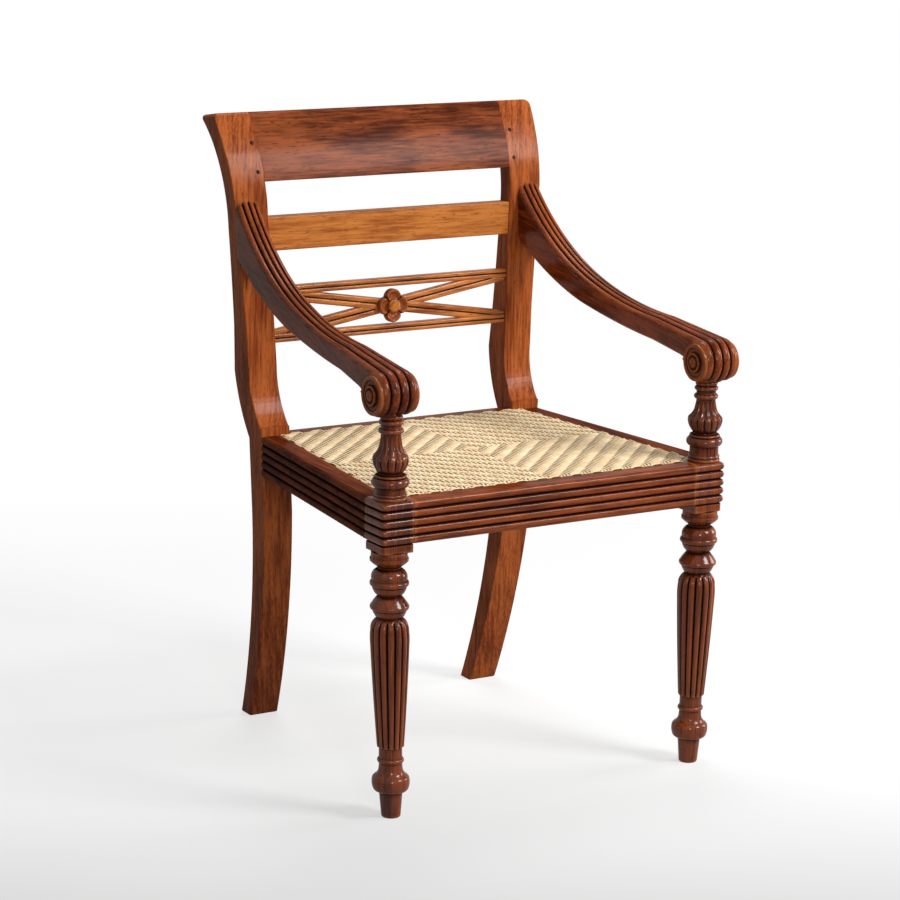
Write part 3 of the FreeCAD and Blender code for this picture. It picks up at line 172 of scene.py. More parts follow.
class Finish(Nodes):
    """A material with a Principled shader."""

    def __init__(self, name):
        self.material = bpy.data.materials.new(name)
        self.material.use_nodes = True
        super().__init__(self.material.node_tree)
        self.shader = self.tree.nodes["Principled BSDF"]

    def surface(self, **values):
        """Set or link the shader's own sockets."""
        for name, value in values.items():
            self.feed(self.shader.inputs[name.replace("_", " ")], value)
        return self.material

    def bump(self, height, distance, strength):
        """Let a height in a signal bend the light."""
        settings = {"Height": height, "Distance": distance, "Strength": strength}
        normal = self.node("ShaderNodeBump", {}, settings, "Normal")
        self.feed(self.shader.inputs["Normal"], normal)

    def noise(self, place, scale, detail=2.0, distortion=0.0):
        """Smooth random values between 0 and 1."""
        return self.node(
            "ShaderNodeTexNoise", {},
            {"Vector": place, "Scale": scale, "Detail": detail, "Distortion": distortion}, "Fac",
        )

    def crevice(self, distance, inside=False):
        """1 on open surfaces and 0 deep in a groove. Inside, it is 0 on sharp crowns instead."""
        return self.node(
            "ShaderNodeAmbientOcclusion", {"samples": 8, "only_local": True, "inside": inside},
            {"Distance": distance}, "AO",
        )


# %% [markdown]
# Teak is straight-grained and full of fine dark pores. The real chair is stained red-brown and varnished
# to a gloss. The grooves between the reeds are painted near black, partly for the dark stain left in
# them and partly as painted shade, and they lose their varnish. The narrow crowns of the reeds are
# painted lighter as a painted highlight. An image could show all that, but noise works at every size and
# needs no unwrapping. The boards were sawn straight, so the grain runs straight through a curved leg or
# arm. The noise therefore follows one fixed direction for each piece, in the chair's own coordinates.
# Growth rings are sheets: the pattern changes fast through them, slowly within a sheet, and slowest
# along it.

# %% Teak
STAIN_AND_SHADE_DARK = (0.018, 0.004, 0.002)
HIGHLIGHT_TONE = (0.52, 0.155, 0.040)
GROOVE_REACH, GROOVE_SPAN = 0.008, (0.55, 1.0)
CROWN_REACH, CROWN_SPAN = 0.007, (0.10, 0.50)
TONE_SPAN = (0.33, 0.64)
FLECK_SPAN, FLECK_STRENGTH = (0.62, 0.70), 0.65
PORE_DEPTH = 0.0001
OFF_AXIS = Vector((0.31, 0.52, 0.79))


def teak(name, grain, tones, seed, figure=0.3, varnish=0.22, crown_highlight=0.0, blur=0.18):
    """A varnished teak whose grain runs along a direction. tones are the dark and light colours of the
    board, seed moves the pattern, and figure is the strength of its broad bands. crown_highlight is how
    much lighter narrow crowns are painted, a painted highlight, and blur the roughness of the varnish."""
    finish = Finish(name)
    along = Vector(grain).normalized()
    aside = along.cross(OFF_AXIS).normalized()
    third = along.cross(aside)
    place = finish.node("ShaderNodeTexCoord", {}, {}, "Object")
    parts = [finish.along(place, axis) for axis in (aside, third, along)]

    def stretched(flat, long, shift):
        return finish.node(
            "ShaderNodeCombineXYZ", {},
            {"X": parts[0] + shift, "Y": parts[1] * flat + seed, "Z": parts[2] * long + shift},
        )

    broad = finish.noise(stretched(0.30, 0.14, seed * 1.7), 30, 3, 0.3)
    streak = finish.noise(stretched(0.16, 0.05, seed), 230, 3)
    fine = finish.noise(stretched(0.30, 0.03, seed * 2.3), 800, 2)
    flecks = finish.noise(stretched(0.50, 0.07, seed * 3.1), 1100, 1)
    dark, light = tones
    mix = broad * figure + streak * (0.9 - figure) + fine * 0.1 + (fine - 0.5) * 0.3
    colour = mix.between(*TONE_SPAN).blend(dark, light)
    fleck = flecks.between(*FLECK_SPAN)
    colour = (fleck * FLECK_STRENGTH).blend(colour, tuple(value * 0.5 for value in dark))
    # Narrow crowns are painted lighter here: a painted highlight.
    if crown_highlight:
        crown = (1 - finish.crevice(CROWN_REACH, True)).between(*CROWN_SPAN)
        colour = (crown * crown_highlight).blend(colour, HIGHLIGHT_TONE)
    # Grooves are painted near black here, partly for the stain left in them and partly as painted shade,
    # and their varnish is taken off.
    open_air = finish.crevice(GROOVE_REACH).between(*GROOVE_SPAN)
    colour = open_air.blend(STAIN_AND_SHADE_DARK, colour)
    finish.bump(fine - fleck, PORE_DEPTH, 0.3)
    return finish.surface(
        Base_Color=colour, Roughness=0.5, Specular_IOR_Level=0.0,
        Coat_Weight=open_air * varnish, Coat_Roughness=blur,
    )


RED_TONES = ((0.165, 0.029, 0.0070), (0.44, 0.112, 0.027))
BROWN_TONES = ((0.066, 0.0095, 0.0027), (0.285, 0.059, 0.0125))
DARK_TONES = ((0.060, 0.012, 0.0055), (0.30, 0.074, 0.023))
LEG_TONES = ((0.050, 0.0072, 0.0022), (0.25, 0.050, 0.0108))
# SHADE_TONES paint the side rails darker than the front rail: painted shade.
SHADE_TONES = ((0.055, 0.0085, 0.0028), (0.20, 0.042, 0.011))
GOLD_TONES = ((0.28, 0.070, 0.014), (0.58, 0.200, 0.042))
AMBER_TONES = ((0.24, 0.062, 0.013), (0.60, 0.205, 0.048))
PEG_TONES = ((0.020, 0.006, 0.003), (0.060, 0.018, 0.008))
UPRIGHT = (0.0, 0.0, 1.0)
ACROSS = (1.0, 0.0, 0.0)
BACKWARD = (0.0, 1.0, 0.0)
print("tones from", PEG_TONES[0], "to", GOLD_TONES[1])

# %% [markdown]
# All pieces are drawn in millimetres, with Y = 0 at the front of the seat, as a joiner would
# measure the chair. The model's own nodes say where its seat, rails and posts are, and each
# mesh is moved to its place when the piece is made.

# %% Drawing frame and main sizes
MM = 0.001
DRAWING_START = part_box("front_seat_rail")[0].y


def span(node, axis):
    """The lowest and the highest place of a model node along an axis, in the drawing."""
    shift = DRAWING_START if axis == 1 else 0
    return [(corner[axis] - shift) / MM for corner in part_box(node)]


RAIL_BOTTOM, SEAT_TOP = span("front_seat_rail", 2)
SEAT_DEPTH = span("rear_seat_rail", 1)[0]
BACK_TOP = span("back_post_right", 2)[1]
FRONT_HALF = span("side_rail_right", 0)[1]
FLARE_HEIGHT = SEAT_TOP + (BACK_TOP - SEAT_TOP) * 0.341  # a share of the rise of the back
FOOT_HALF, FLARE_HALF, TOP_HALF = 216, 244.5, 268
POST_FOOT_WIDTH, POST_TOP_WIDTH = 46, 57
CANT = (FLARE_HALF - FOOT_HALF) / FLARE_HEIGHT
BLOCK = 49
SIDE_SLOPE = (FRONT_HALF - FOOT_HALF - CANT * SEAT_TOP) / (SEAT_DEPTH - BLOCK)
SIDE_STRETCH = math.hypot(1, SIDE_SLOPE)


def outer_half(height):
    """Half the width over the posts at a height. They widen above the lattice's foot."""
    if height < FLARE_HEIGHT:
        return FOOT_HALF + CANT * height
    way = (height - FLARE_HEIGHT) / (BACK_TOP - FLARE_HEIGHT)
    return FLARE_HALF + (TOP_HALF - FLARE_HALF) * way


def inner_half(height):
    """Half the space between the posts at a height."""
    low, high = FOOT_HALF - POST_FOOT_WIDTH, TOP_HALF - POST_TOP_WIDTH
    return low + (high - low) * height / BACK_TOP


def side_x(y, inset=0.0):
    """X of a line along the right side rail, an inset away from its outer face."""
    return FRONT_HALF - (y - BLOCK) * SIDE_SLOPE - inset * SIDE_STRETCH


print("seat", round(SEAT_TOP), "high,", round(SEAT_DEPTH), "deep,", round(2 * FRONT_HALF), "wide")

# %% [markdown]
# Most pieces are lofts: a row of rings with a skin of faces over them and a cap at each end. One
# class collects several lofts in one mesh, so that a leg and its block, or an arm and the eyes of
# its scroll, stay one piece of wood. Weighted normals keep flat faces flat, and only their
# rounded edges shade smoothly.

# %% Shape
CREASE = math.radians(40)


class Shape:
    """Points and faces of one piece, built up from lofts."""

    def __init__(self):
        self.points = []
        self.faces = []

    def loft(self, rings):
        """Skin a row of rings that all have the same number of points, and cap both ends."""
        base = len(self.points)
        count = len(rings[0])
        for ring in rings:
            self.points += [tuple(point) for point in ring]
        for row in range(len(rings) - 1):
            here = base + row * count
            for index in range(count):
                step = (index + 1) % count
                self.faces.append((here + index, here + step, here + count + step, here + count + index))
        last = base + (len(rings) - 1) * count
        self.faces.append(tuple(range(base, base + count))[::-1])
        self.faces.append(tuple(range(last, last + count)))
        return self

    def mirrored(self):
        """The same shape on the other side of the chair's middle."""
        twin = Shape()
        twin.points = [(-x, y, z) for x, y, z in self.points]
        twin.faces = [face[::-1] for face in self.faces]
        return twin


def piece(name, shape, material, slot, *nodes):
    """Make an object of a shape. It stands for model nodes and rides with the chair."""
    mesh = bpy.data.meshes.new(name)
    places = [(x * MM, y * MM + DRAWING_START, z * MM) for x, y, z in shape.points]
    mesh.from_pydata(places, [], shape.faces)
    mesh.materials.append(material)
    mesh.shade_smooth()
    mesh.set_sharp_from_angle(angle=CREASE)
    made = bpy.data.objects.new(name, mesh)
    bpy.context.scene.collection.objects.link(made)
    normals = made.modifiers.new("normals", "WEIGHTED_NORMAL")
    normals.keep_sharp = True
    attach(made, "root")
    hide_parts(*nodes)
    print(name, len(mesh.polygons), "faces")
    return made


def pair(name, material, right, left=None):
    """Make the right and the left piece of a name. The left one mirrors its shape."""
    piece(f"{name}_right_shown", right, material, "teak", f"{name}_right")
    piece(f"{name}_left_shown", (left or right).mirrored(), material, "teak", f"{name}_left")


# %% Lines and curves
def turns(count):
    """The angles of points all round a circle."""
    return [math.tau * index / count for index in range(count)]


def arc(start, through, end, steps):
    """Points of the arc from start over through to end, without the end itself."""
    (ax, ay), (bx, by), (cx, cy) = start, through, end
    turn = 2 * (ax * (by - cy) + bx * (cy - ay) + cx * (ay - by))
    a2, b2, c2 = ax * ax + ay * ay, bx * bx + by * by, cx * cx + cy * cy
    ox = (a2 * (by - cy) + b2 * (cy - ay) + c2 * (ay - by)) / turn
    oy = (a2 * (cx - bx) + b2 * (ax - cx) + c2 * (bx - ax)) / turn
    radius = math.hypot(ax - ox, ay - oy)
    first = math.atan2(ay - oy, ax - ox)
    middle = (math.atan2(by - oy, bx - ox) - first) % math.tau
    sweep = (math.atan2(cy - oy, cx - ox) - first) % math.tau
    if middle > sweep:
        sweep -= math.tau
    return [
        (ox + radius * math.cos(first + sweep * step / steps),
         oy + radius * math.sin(first + sweep * step / steps))
        for step in range(steps)
    ]


def straight(start, end, steps):
    """Points of a straight line from start to end, without the end itself."""
    return [tuple(a + (b - a) * step / steps for a, b in zip(start, end)) for step in range(steps)]


def bent(start, end, shares, steps=14):
    """An arc whose middle point lies at two shares of the way from start to end."""
    through = tuple(a + (b - a) * share for a, b, share in zip(start, end, shares))
    return arc(start, through, end, steps)


def line_at(line, height):
    """The first coordinate of a rising line of points where it reaches a height."""
    for (low_y, low), (high_y, high) in zip(line, line[1:]):
        if low <= height <= high and low != high:
            return low_y + (high_y - low_y) * (height - low) / (high - low)
    return line[0][0] if height < line[0][1] else line[-1][0]


def rounded(corners, radii, steps=3):
    """A ring of corners in the plane, each of them rounded by its own radius."""
    ring = []
    for index, corner in enumerate(corners):
        here = Vector(corner)
        before = (Vector(corners[index - 1]) - here).normalized()
        after = (Vector(corners[(index + 1) % len(corners)]) - here).normalized()
        start = here + before * radii[index]
        end = here + after * radii[index]
        centre = start + end - here
        for step in range(steps + 1):
            turn = math.pi / 2 * step / steps
            ring.append(centre + (start - centre) * math.cos(turn) + (end - centre) * math.sin(turn))
    return ring


def progress(value, start, end):
    """0 at start and 1 at end, and held there beyond them."""
    return min(1.0, max(0.0, (value - start) / (end - start)))


def bead(share, width=1.0, power=2.0):
    """How deep a bead's surface lies, as a share of its full depth. share is 0 on its crown and 1
    halfway to the next bead, and a width under 1 leaves a flat groove between them."""
    return 1 - math.sqrt(max(0.0, 1 - (share / width) ** power))


# %% [markdown]
# A back post is a sabre leg and a back stile in one board. Seen from the side it sweeps back at
# the foot, bends at the knee above the seat and bends again at the crest. Seen from the front,
# both posts lean outwards a little. A board bent along a curve would twist its faces, so the post
# is a loft of level rings between a front line and a back line, and only the rings near the top
# slope back. A small ledge above the seat marks where the leg's square face ends.

# %% Back posts
LEDGE_HEIGHT = SEAT_TOP + 12
POST_FRONT = (
    bent((SEAT_DEPTH + 71, 0), (SEAT_DEPTH, 330), (0.683, 0.5), 20)
    + [(SEAT_DEPTH, 330), (SEAT_DEPTH, LEDGE_HEIGHT)]
    + bent((SEAT_DEPTH + 3, LEDGE_HEIGHT + 0.4), (SEAT_DEPTH + 33, 540), (0.567, 0.29), 12)
    + [(SEAT_DEPTH + 33, 540)]
    + bent((SEAT_DEPTH + 45, 781), (SEAT_DEPTH + 97, BACK_TOP), (0.317, 0.5), 16)
    + [(SEAT_DEPTH + 97, BACK_TOP)]
)
POST_BACK = (
    bent((SEAT_DEPTH + 100, 0), (SEAT_DEPTH + 40, 330), (0.733, 0.5), 20)
    + [(SEAT_DEPTH + 40, 330)]
    + bent((SEAT_DEPTH + 40, 436), (SEAT_DEPTH + 79, 530), (0.667, 0.5), 12)
    + bent((SEAT_DEPTH + 79, 530), (SEAT_DEPTH + 72, 740), (0.786, 0.5), 12)
    + bent((SEAT_DEPTH + 72, 740), (SEAT_DEPTH + 139, BACK_TOP), (0.203, 0.535), 16)
    + [(SEAT_DEPTH + 139, BACK_TOP)]
)
TOP_EDGE = 3.5
CORNER_EDGE, CORNER_STEPS = 9, 8
TOP_SLOPE, TOP_LIFT, SLOPE_START = 0.16, 3.6, BACK_TOP - 40
POST_EDGE, INNER_EDGE, SEAM_EDGE = 2.2, 1.6, 0.3
FOOT_EDGE = 1.2
CREST_BOTTOM = span("crest_rail", 2)[0]
post_heights = sorted(
    set(round(height, 2) for _, height in POST_FRONT + POST_BACK)
    | {CREST_BOTTOM, CREST_BOTTOM - 0.5, FLARE_HEIGHT}
)


def sloped(y, height):
    """A height near the top, which rises at the front and falls to the back."""
    lift = TOP_LIFT - TOP_SLOPE * (y - line_at(POST_FRONT, height))
    return height + lift * progress(height, SLOPE_START, BACK_TOP)


def post_ring(height, round_off=0.0, corner_off=0.0):
    """One flat ring of the right post."""
    front = line_at(POST_FRONT, height) + round_off
    back = line_at(POST_BACK, height) - round_off
    inner = inner_half(height)
    outer = outer_half(height) - corner_off
    seam = SEAM_EDGE if height >= CREST_BOTTOM else INNER_EDGE
    corners = [(inner, front), (outer, front), (outer, back), (inner, back)]
    ring = rounded(corners, [seam, POST_EDGE, POST_EDGE, INNER_EDGE])
    return [(x, y, sloped(y, height)) for x, y in ring]


foot_ring = [(x, y, 0) for x, y, _ in post_ring(FOOT_EDGE / 2, 1.0, 1.0)]
post_rings = [foot_ring, post_ring(FOOT_EDGE)] + [
    post_ring(height) for height in post_heights if 2 < height < BACK_TOP - CORNER_EDGE
]
for step in range(CORNER_STEPS + 1):
    rise = CORNER_EDGE * math.sin(math.pi / 2 * step / CORNER_STEPS)
    height = BACK_TOP - CORNER_EDGE + rise
    above = max(0.0, height - (BACK_TOP - TOP_EDGE))
    front_off = TOP_EDGE - math.sqrt(max(0.0, TOP_EDGE ** 2 - above ** 2))
    corner_off = CORNER_EDGE - math.sqrt(CORNER_EDGE ** 2 - rise ** 2)
    post_rings.append(post_ring(height, front_off, corner_off))
post_shape = Shape().loft(post_rings)
post_teak = teak("post teak", (0.05, 0.1, 1.0), RED_TONES, 0.37, 0.38, 0.12)
pair("back_post", post_teak, post_shape)

# %% [markdown]
# The crest is a wide board between the posts, sawn to the same curve as their tops. Its front is
# flush with them, so only a fine joint line shows. It was cut from a darker, more figured board.
# The middle rail is narrower, lighter and straight, and its face lies a little behind the posts.

# %% Crest and middle rail
JOINT_LINE = 0.25
CREST_THICK, CREST_LOW_EDGE = 24, 1.5
CREST_STEPS, CREST_EDGE_STEPS = 14, 5


def across(section):
    """Two rings of a board between the posts, from its section in Y and Z."""
    return [
        [(side * (inner_half(z) - JOINT_LINE), y, sloped(y, z)) for y, z in section]
        for side in (-1, 1)
    ]


crest_low = CREST_BOTTOM + CREST_LOW_EDGE
crest_side = [(CREST_LOW_EDGE, CREST_BOTTOM)]
for step in range(CREST_STEPS + 1):
    crest_side.append((0, crest_low + (BACK_TOP - TOP_EDGE - crest_low) * step / CREST_STEPS))
for step in range(1, CREST_EDGE_STEPS + 1):
    turn = math.pi / 2 * step / CREST_EDGE_STEPS
    crest_side.append((TOP_EDGE * (1 - math.cos(turn)), BACK_TOP - TOP_EDGE * (1 - math.sin(turn))))
crest_section = [(line_at(POST_FRONT, height) + off, height) for off, height in crest_side]
crest_section += [
    (line_at(POST_FRONT, height) + CREST_THICK - off, height) for off, height in crest_side[::-1]
]
crest_shape = Shape().loft(across(crest_section))
crest_teak = teak("crest teak", ACROSS, DARK_TONES, 0.81, 0.6, 0.07)
piece("crest_rail_shown", crest_shape, crest_teak, "teak_dark", "crest_rail")

MIDDLE_LOW, MIDDLE_HIGH = span("middle_rail", 2)
MIDDLE_RECESS, MIDDLE_THICK, MIDDLE_EDGE = 2, 20, 2.0
middle_corners = [
    (line_at(POST_FRONT, height) + MIDDLE_RECESS + depth, height)
    for depth, height in (
        (0, MIDDLE_LOW), (0, MIDDLE_HIGH), (MIDDLE_THICK, MIDDLE_HIGH), (MIDDLE_THICK, MIDDLE_LOW),
    )
]
middle_section = rounded(middle_corners, [MIDDLE_EDGE] * 4)
middle_shape = Shape().loft(across(middle_section))
middle_teak = teak("middle rail teak", ACROSS, GOLD_TONES, 1.43)
piece("middle_rail_shown", middle_shape, middle_teak, "teak_light", "middle_rail")

# %% [markdown]
# Two small round pegs on each side hold the tenons of the crest. Their ends show as dark dots on
# the faces of the posts, a little proud of the wood. Each peg is a short loft whose rings follow
# the lean of the post, so that its end stays parallel to the face.

# %% Crest pegs
PEG_INSET = 9
PEG_RISES = (14, 54)
PEG_TURNS = 24
PEG_PROFILE = [(3.0, 6.0), (3.0, -0.1), (2.7, -0.4), (1.6, -0.6), (0.3, -0.65)]
pegs = Shape()
for side in (-1, 1):
    for rise in PEG_RISES:
        height = CREST_BOTTOM + rise
        x = side * (inner_half(height) + PEG_INSET)
        rings = []
        for radius, depth in PEG_PROFILE:
            ring = []
            for turn in turns(PEG_TURNS):
                z = height + radius * math.sin(turn)
                ring.append((x + radius * math.cos(turn), line_at(POST_FRONT, z) + depth, z))
            rings.append(ring)
        pegs.loft(rings)
peg_teak = teak("peg teak", BACKWARD, PEG_TONES, 9.2, 0.3, 0.05)
piece("crest_pegs_shown", pegs, peg_teak, "teak_dark", "crest_pegs")

# %% [markdown]
# Below the middle rail two beaded rails carry a lattice of two crossed bars. All four show two
# round beads side by side, which a moulding plane cut along them. So one section serves all four.
# The lattice leans back with the posts, so it is drawn upright, as across, depth and rise, and
# then tilted.

# %% Lattice
LATTICE_MIDDLE = SEAT_TOP + (BACK_TOP - SEAT_TOP) * 0.372  # a share of the rise of the back
LATTICE_Y = line_at(POST_FRONT, LATTICE_MIDDLE)
STILE_RUN, STILE_RISE = 12, 241
LEAN = math.atan(STILE_RUN / STILE_RISE)
OPENING, HALF_LATTICE = 28, 41
RAIL_FRONT, RAIL_BACK = 3, 17
BEAD_DEPTH, BEAD_STEPS = 2.6, 8
BACK_EDGE = 0.8
RAIL_TENON = 4
BAR_RUN, BAR_END_HEIGHT = 76, 5.5
BAR_RAIL_GAP, BAR_POST_GAP = 0.2, 0.3
FALLING_DEPTHS, RISING_DEPTHS = (4, 15.5), (5, 16)


def tilted(x, depth, rise):
    """The place of a lattice point in the drawing."""
    return (x, LATTICE_Y + depth * math.cos(LEAN) + rise * math.sin(LEAN),
            LATTICE_MIDDLE + rise * math.cos(LEAN) - depth * math.sin(LEAN))


def two_beads(low, high, front, back):
    """The section of a moulding with two beads on its front, as (depth, place) points."""
    middle, radius = (low + high) / 2, (high - low) / 4
    section = [(back, low + BACK_EDGE), (back - BACK_EDGE, low)]
    for centre in (low + radius, middle + radius):
        for step in range(BEAD_STEPS + 1):
            turn = math.pi * step / BEAD_STEPS
            section.append((front + BEAD_DEPTH * (1 - math.sin(turn)), centre - radius * math.cos(turn)))
    return section + [(back - BACK_EDGE, high), (back, high - BACK_EDGE)]


lattice_teak = teak("lattice teak", ACROSS, AMBER_TONES, 2.19, 0.3, 0.34)
for node, low, high in (
    ("lattice_top_rail", OPENING, HALF_LATTICE), ("lattice_bottom_rail", -HALF_LATTICE, -OPENING),
):
    section = two_beads(low, high, RAIL_FRONT, RAIL_BACK)
    rings = []
    for side in (-1, 1):
        reach = inner_half(LATTICE_MIDDLE) + RAIL_TENON
        rings.append([tilted(side * reach, depth, rise) for depth, rise in section])
    piece(node + "_shown", Shape().loft(rings), lattice_teak, "teak", node)

bar_reach = inner_half(LATTICE_MIDDLE) - BAR_POST_GAP
bar_slope = math.atan((2 * OPENING - BAR_END_HEIGHT) / (2 * bar_reach - BAR_RUN))
bar_half_width = (OPENING - BAR_END_HEIGHT - bar_reach * math.tan(bar_slope)) * -math.cos(bar_slope)


def bar_shape(sign, front, back):
    """A lattice bar with its ends cut to the rails and to the posts."""
    rings = [[], []]
    section = two_beads(-bar_half_width, bar_half_width, front, back)
    sine, cosine = math.sin(bar_slope), math.cos(bar_slope)
    for depth, aside in section:
        for ring, end in zip(rings, (-1, 1)):
            to_rail = (OPENING - BAR_RAIL_GAP - end * aside * cosine) / sine
            to_post = (bar_reach + end * aside * sine) / cosine
            along = end * min(to_rail, to_post)
            ring.append(tilted(
                sign * (along * cosine - aside * sine), depth, along * sine + aside * cosine,
            ))
    return Shape().loft(rings if sign > 0 else [ring[::-1] for ring in rings])


falling_bar, rising_bar = bar_shape(-1, *FALLING_DEPTHS), bar_shape(1, *RISING_DEPTHS)
piece("lattice_bar_falling_shown", falling_bar, lattice_teak, "teak", "lattice_bar_falling")
piece("lattice_bar_rising_shown", rising_bar, lattice_teak, "teak", "lattice_bar_rising")

# %% [markdown]
# A small carved rosette covers the crossing: four cupped petals around a button. Four cut spheres
# would meet in hard seams, so it is a grid of points around the middle, whose height follows the
# distance to the nearest petal's own middle. The button is a separate turned piece.

# %% Rosette
PETAL_OFFSET, PETAL_RADIUS, PETAL_THICK = 11.5, 13.5, 8
CUP_DEPTH, CUP_END, CUP_POWER = 5.2, 0.76, 2.4
RIM_DROP, RIM_START = 3.0, 0.84
VALLEY_DEPTH, VALLEY_SPREAD, VALLEY_FULL = 3.2, 0.14, 12
ROSETTE_TURNS, ROSETTE_STEPS = 128, 22
BAR_FRONT = FALLING_DEPTHS[0]
SEATED, CENTRE_SHARE = 1.5, 0.02


def petal_turn(turn):
    """The angle between a direction and the middle line of its petal."""
    return abs((turn + math.pi / 4) % (math.pi / 2) - math.pi / 4)


def petal_edge(turn):
    """Distance from the middle to the outline of the four petals."""
    along = PETAL_OFFSET * math.cos(petal_turn(turn))
    aside = PETAL_OFFSET * math.sin(petal_turn(turn))
    return along + math.sqrt(PETAL_RADIUS ** 2 - aside ** 2)


def petal_height(turn, distance):
    """Height of the carving above the bars."""
    aside = petal_turn(turn)
    along, off = distance * math.cos(aside) - PETAL_OFFSET, distance * math.sin(aside)
    share = min(1.0, math.hypot(along, off) / PETAL_RADIUS)
    cup = PETAL_THICK - CUP_DEPTH * (1 - progress(share, 0, CUP_END) ** CUP_POWER)
    rim = RIM_DROP * progress(share, RIM_START, 1) ** 2
    nearness = progress(abs(math.pi / 4 - aside), VALLEY_SPREAD, 0)
    return cup - rim - VALLEY_DEPTH * nearness * progress(distance, 0, VALLEY_FULL)


def on_lattice(turn, distance, depth):
    """A point at an angle and a distance from the crossing."""
    return tilted(distance * math.cos(turn), depth, distance * math.sin(turn))


rings = [[on_lattice(turn, petal_edge(turn), BAR_FRONT + SEATED) for turn in turns(ROSETTE_TURNS)]]
for step in range(ROSETTE_STEPS, -1, -1):
    ring = []
    for turn in turns(ROSETTE_TURNS):
        distance = petal_edge(turn) * max(CENTRE_SHARE, step / ROSETTE_STEPS)
        ring.append(on_lattice(turn, distance, BAR_FRONT - petal_height(turn, distance)))
    rings.append(ring)
rosette_shape = Shape().loft(rings)
rosette_teak = teak("rosette teak", (1.0, 0.0, 1.0), BROWN_TONES, 2.71, 0.5, 0.4, 0.45, 0.14)
button_teak = teak("button teak", (1.0, 0.0, 1.0), GOLD_TONES, 2.9, 0.3, 0.3)
piece("rosette_shown", rosette_shape, rosette_teak, "teak", "rosette")

BUTTON_PROFILE = [
    (9.6, -1.5), (9.8, 1.6), (9.4, 2.8), (8.4, 3.6), (6.8, 4.1), (4.6, 4.4), (2.2, 4.6), (0.5, 4.6),
]
BUTTON_TURNS, BUTTON_SUNK = 48, 1.0
button_base = BAR_FRONT - PETAL_THICK + BUTTON_SUNK
rings = [
    [on_lattice(turn, radius, button_base - height) for turn in turns(BUTTON_TURNS)]
    for radius, height in BUTTON_PROFILE
]
piece("rosette_boss_shown", Shape().loft(rings), button_teak, "teak", "rosette_boss")

# %% [markdown]
# The seat rails are reeded: five half-round beads run along the front and the sides, and the
# blocks of the front legs carry the same beads round the corner. A bevel or a bump could only hint
# at them. So each rail is a section with all its beads, drawn out along the rail, with a narrow
# flat groove between two beads. The side rails come closer together towards the back.

# %% Reeded section
REED_COUNT, REED_DEPTH, REED_WIDTH = 5, 4.0, 0.90
REED_HEIGHT = (SEAT_TOP - RAIL_BOTTOM) / REED_COUNT
RAIL_THICK = 30
REED_STEPS = 12


def reed_cut(height):
    """How far the reeds' surface lies behind the rail's face at a height."""
    share = abs(((height - RAIL_BOTTOM) / REED_HEIGHT) % 1 - 0.5) * 2
    return REED_DEPTH * bead(share, REED_WIDTH)


reed_heights = []
for reed in range(REED_COUNT):
    for step in range(REED_STEPS):
        share = (1 - math.cos(math.pi * step / REED_STEPS)) / 2
        reed_heights.append(RAIL_BOTTOM + REED_HEIGHT * (reed + share))
reed_heights.append(SEAT_TOP)
reed_cuts = [reed_cut(height) for height in reed_heights]
reed_cuts[0] = reed_cuts[-1] = REED_DEPTH
print("reeds", REED_COUNT, "each", round(REED_HEIGHT, 1), "mm high")

# %% Front and side rails
BLOCK_GAP, POST_GAP = 0.2, 0.3
front_reach = FRONT_HALF - BLOCK - BLOCK_GAP
rail_teak = teak("rail teak", ACROSS, BROWN_TONES, 3.3, 0.4, 0.25, 0.5)
# The side rails face away from the lights and get the darker shade tones: painted shade.
shaded_side_teak = teak("side rail teak", BACKWARD, SHADE_TONES, 3.9, 0.3, 0.06, 0.2)
section = [(cut, height) for cut, height in zip(reed_cuts, reed_heights)]
section += [(RAIL_THICK, SEAT_TOP), (RAIL_THICK, RAIL_BOTTOM)]
front_rings = [[(side * front_reach, y, z) for y, z in section] for side in (1, -1)]
piece("front_seat_rail_shown", Shape().loft(front_rings), rail_teak, "teak", "front_seat_rail")
side_ends = (SEAT_DEPTH - POST_GAP, BLOCK + BLOCK_GAP)
side_shape = Shape().loft([[(side_x(y, inset), y, z) for inset, z in section] for y in side_ends])
pair("side_rail", shaded_side_teak, side_shape)

# %% [markdown]
# The front legs were turned on a lathe under a square block. A Screw modifier could spin their
# outline, but couldn't cut reeds. So a turned part is a stack of rings whose radius follows one
# outline, and its reeds are cut into the rings. The outline lists heights and radii in
# millimetres: a corner, or a corner and a point that the arc from it to the next corner passes
# through. The feet stand a little further in than the blocks, because the legs lean.

# %% Turning
LEG_OUTLINE = [
    (0, 12.2), (1.2, 13.2), (36.5, 16.2), (36.6, 18.0, 38.6, 22.6), (43, 25.0, 48, 26.0), (56.5, 25.2),
    (58.5, 23.6, 62, 19.4), (71, 16.3), (77, 15.8), (77.5, 16.0, 81, 18.4), (84.5, 16.0), (97, 15.9),
    (100.5, 16.1), (100.6, 18.7, 190, 24.2), (245, 26.8, 256, 27.0), (265, 26.3, 274.5, 24.3),
    (281, 18.6), (282, 17.8, 288, 21.6), (292.5, 23.4), (293.2, 22.8), (293.6, 24.6, 297.2, 26.6),
    (301, 25.0, 307, 21.0), (312.5, 16.1), (313, 16.1, 319, 21.4), (325.2, 23.6), (325.9, 23.0),
    (326.4, 24.6, 330.2, 26.7), (334, 24.6), (334.6, 24.0, 341, 24.4), (350.5, 16.0),
    (353.5, 15.9, 357, 21.6), (360.6, 25.4), (361.5, 26.2), (365.2, 26.2), (366.0, 25.0), (374, 24.4),
]
TURN_STEPS = 10
ARC_STEP, LINE_STEP = 5, 6


def turned_line(outline):
    """(radius, height) points of a turned outline, from the bottom up."""
    line = []
    for corner, after in zip(outline, outline[1:]):
        start = (corner[1], corner[0])
        end = (after[1], after[0])
        if len(corner) == 4:
            parts = max(6, round((end[1] - start[1]) / ARC_STEP))
            line += arc(start, (corner[3], corner[2]), end, parts)
        else:
            parts = max(1, round((end[1] - start[1]) / LINE_STEP))
            line += straight(start, end, parts)
    return line + [(outline[-1][1], outline[-1][0])]


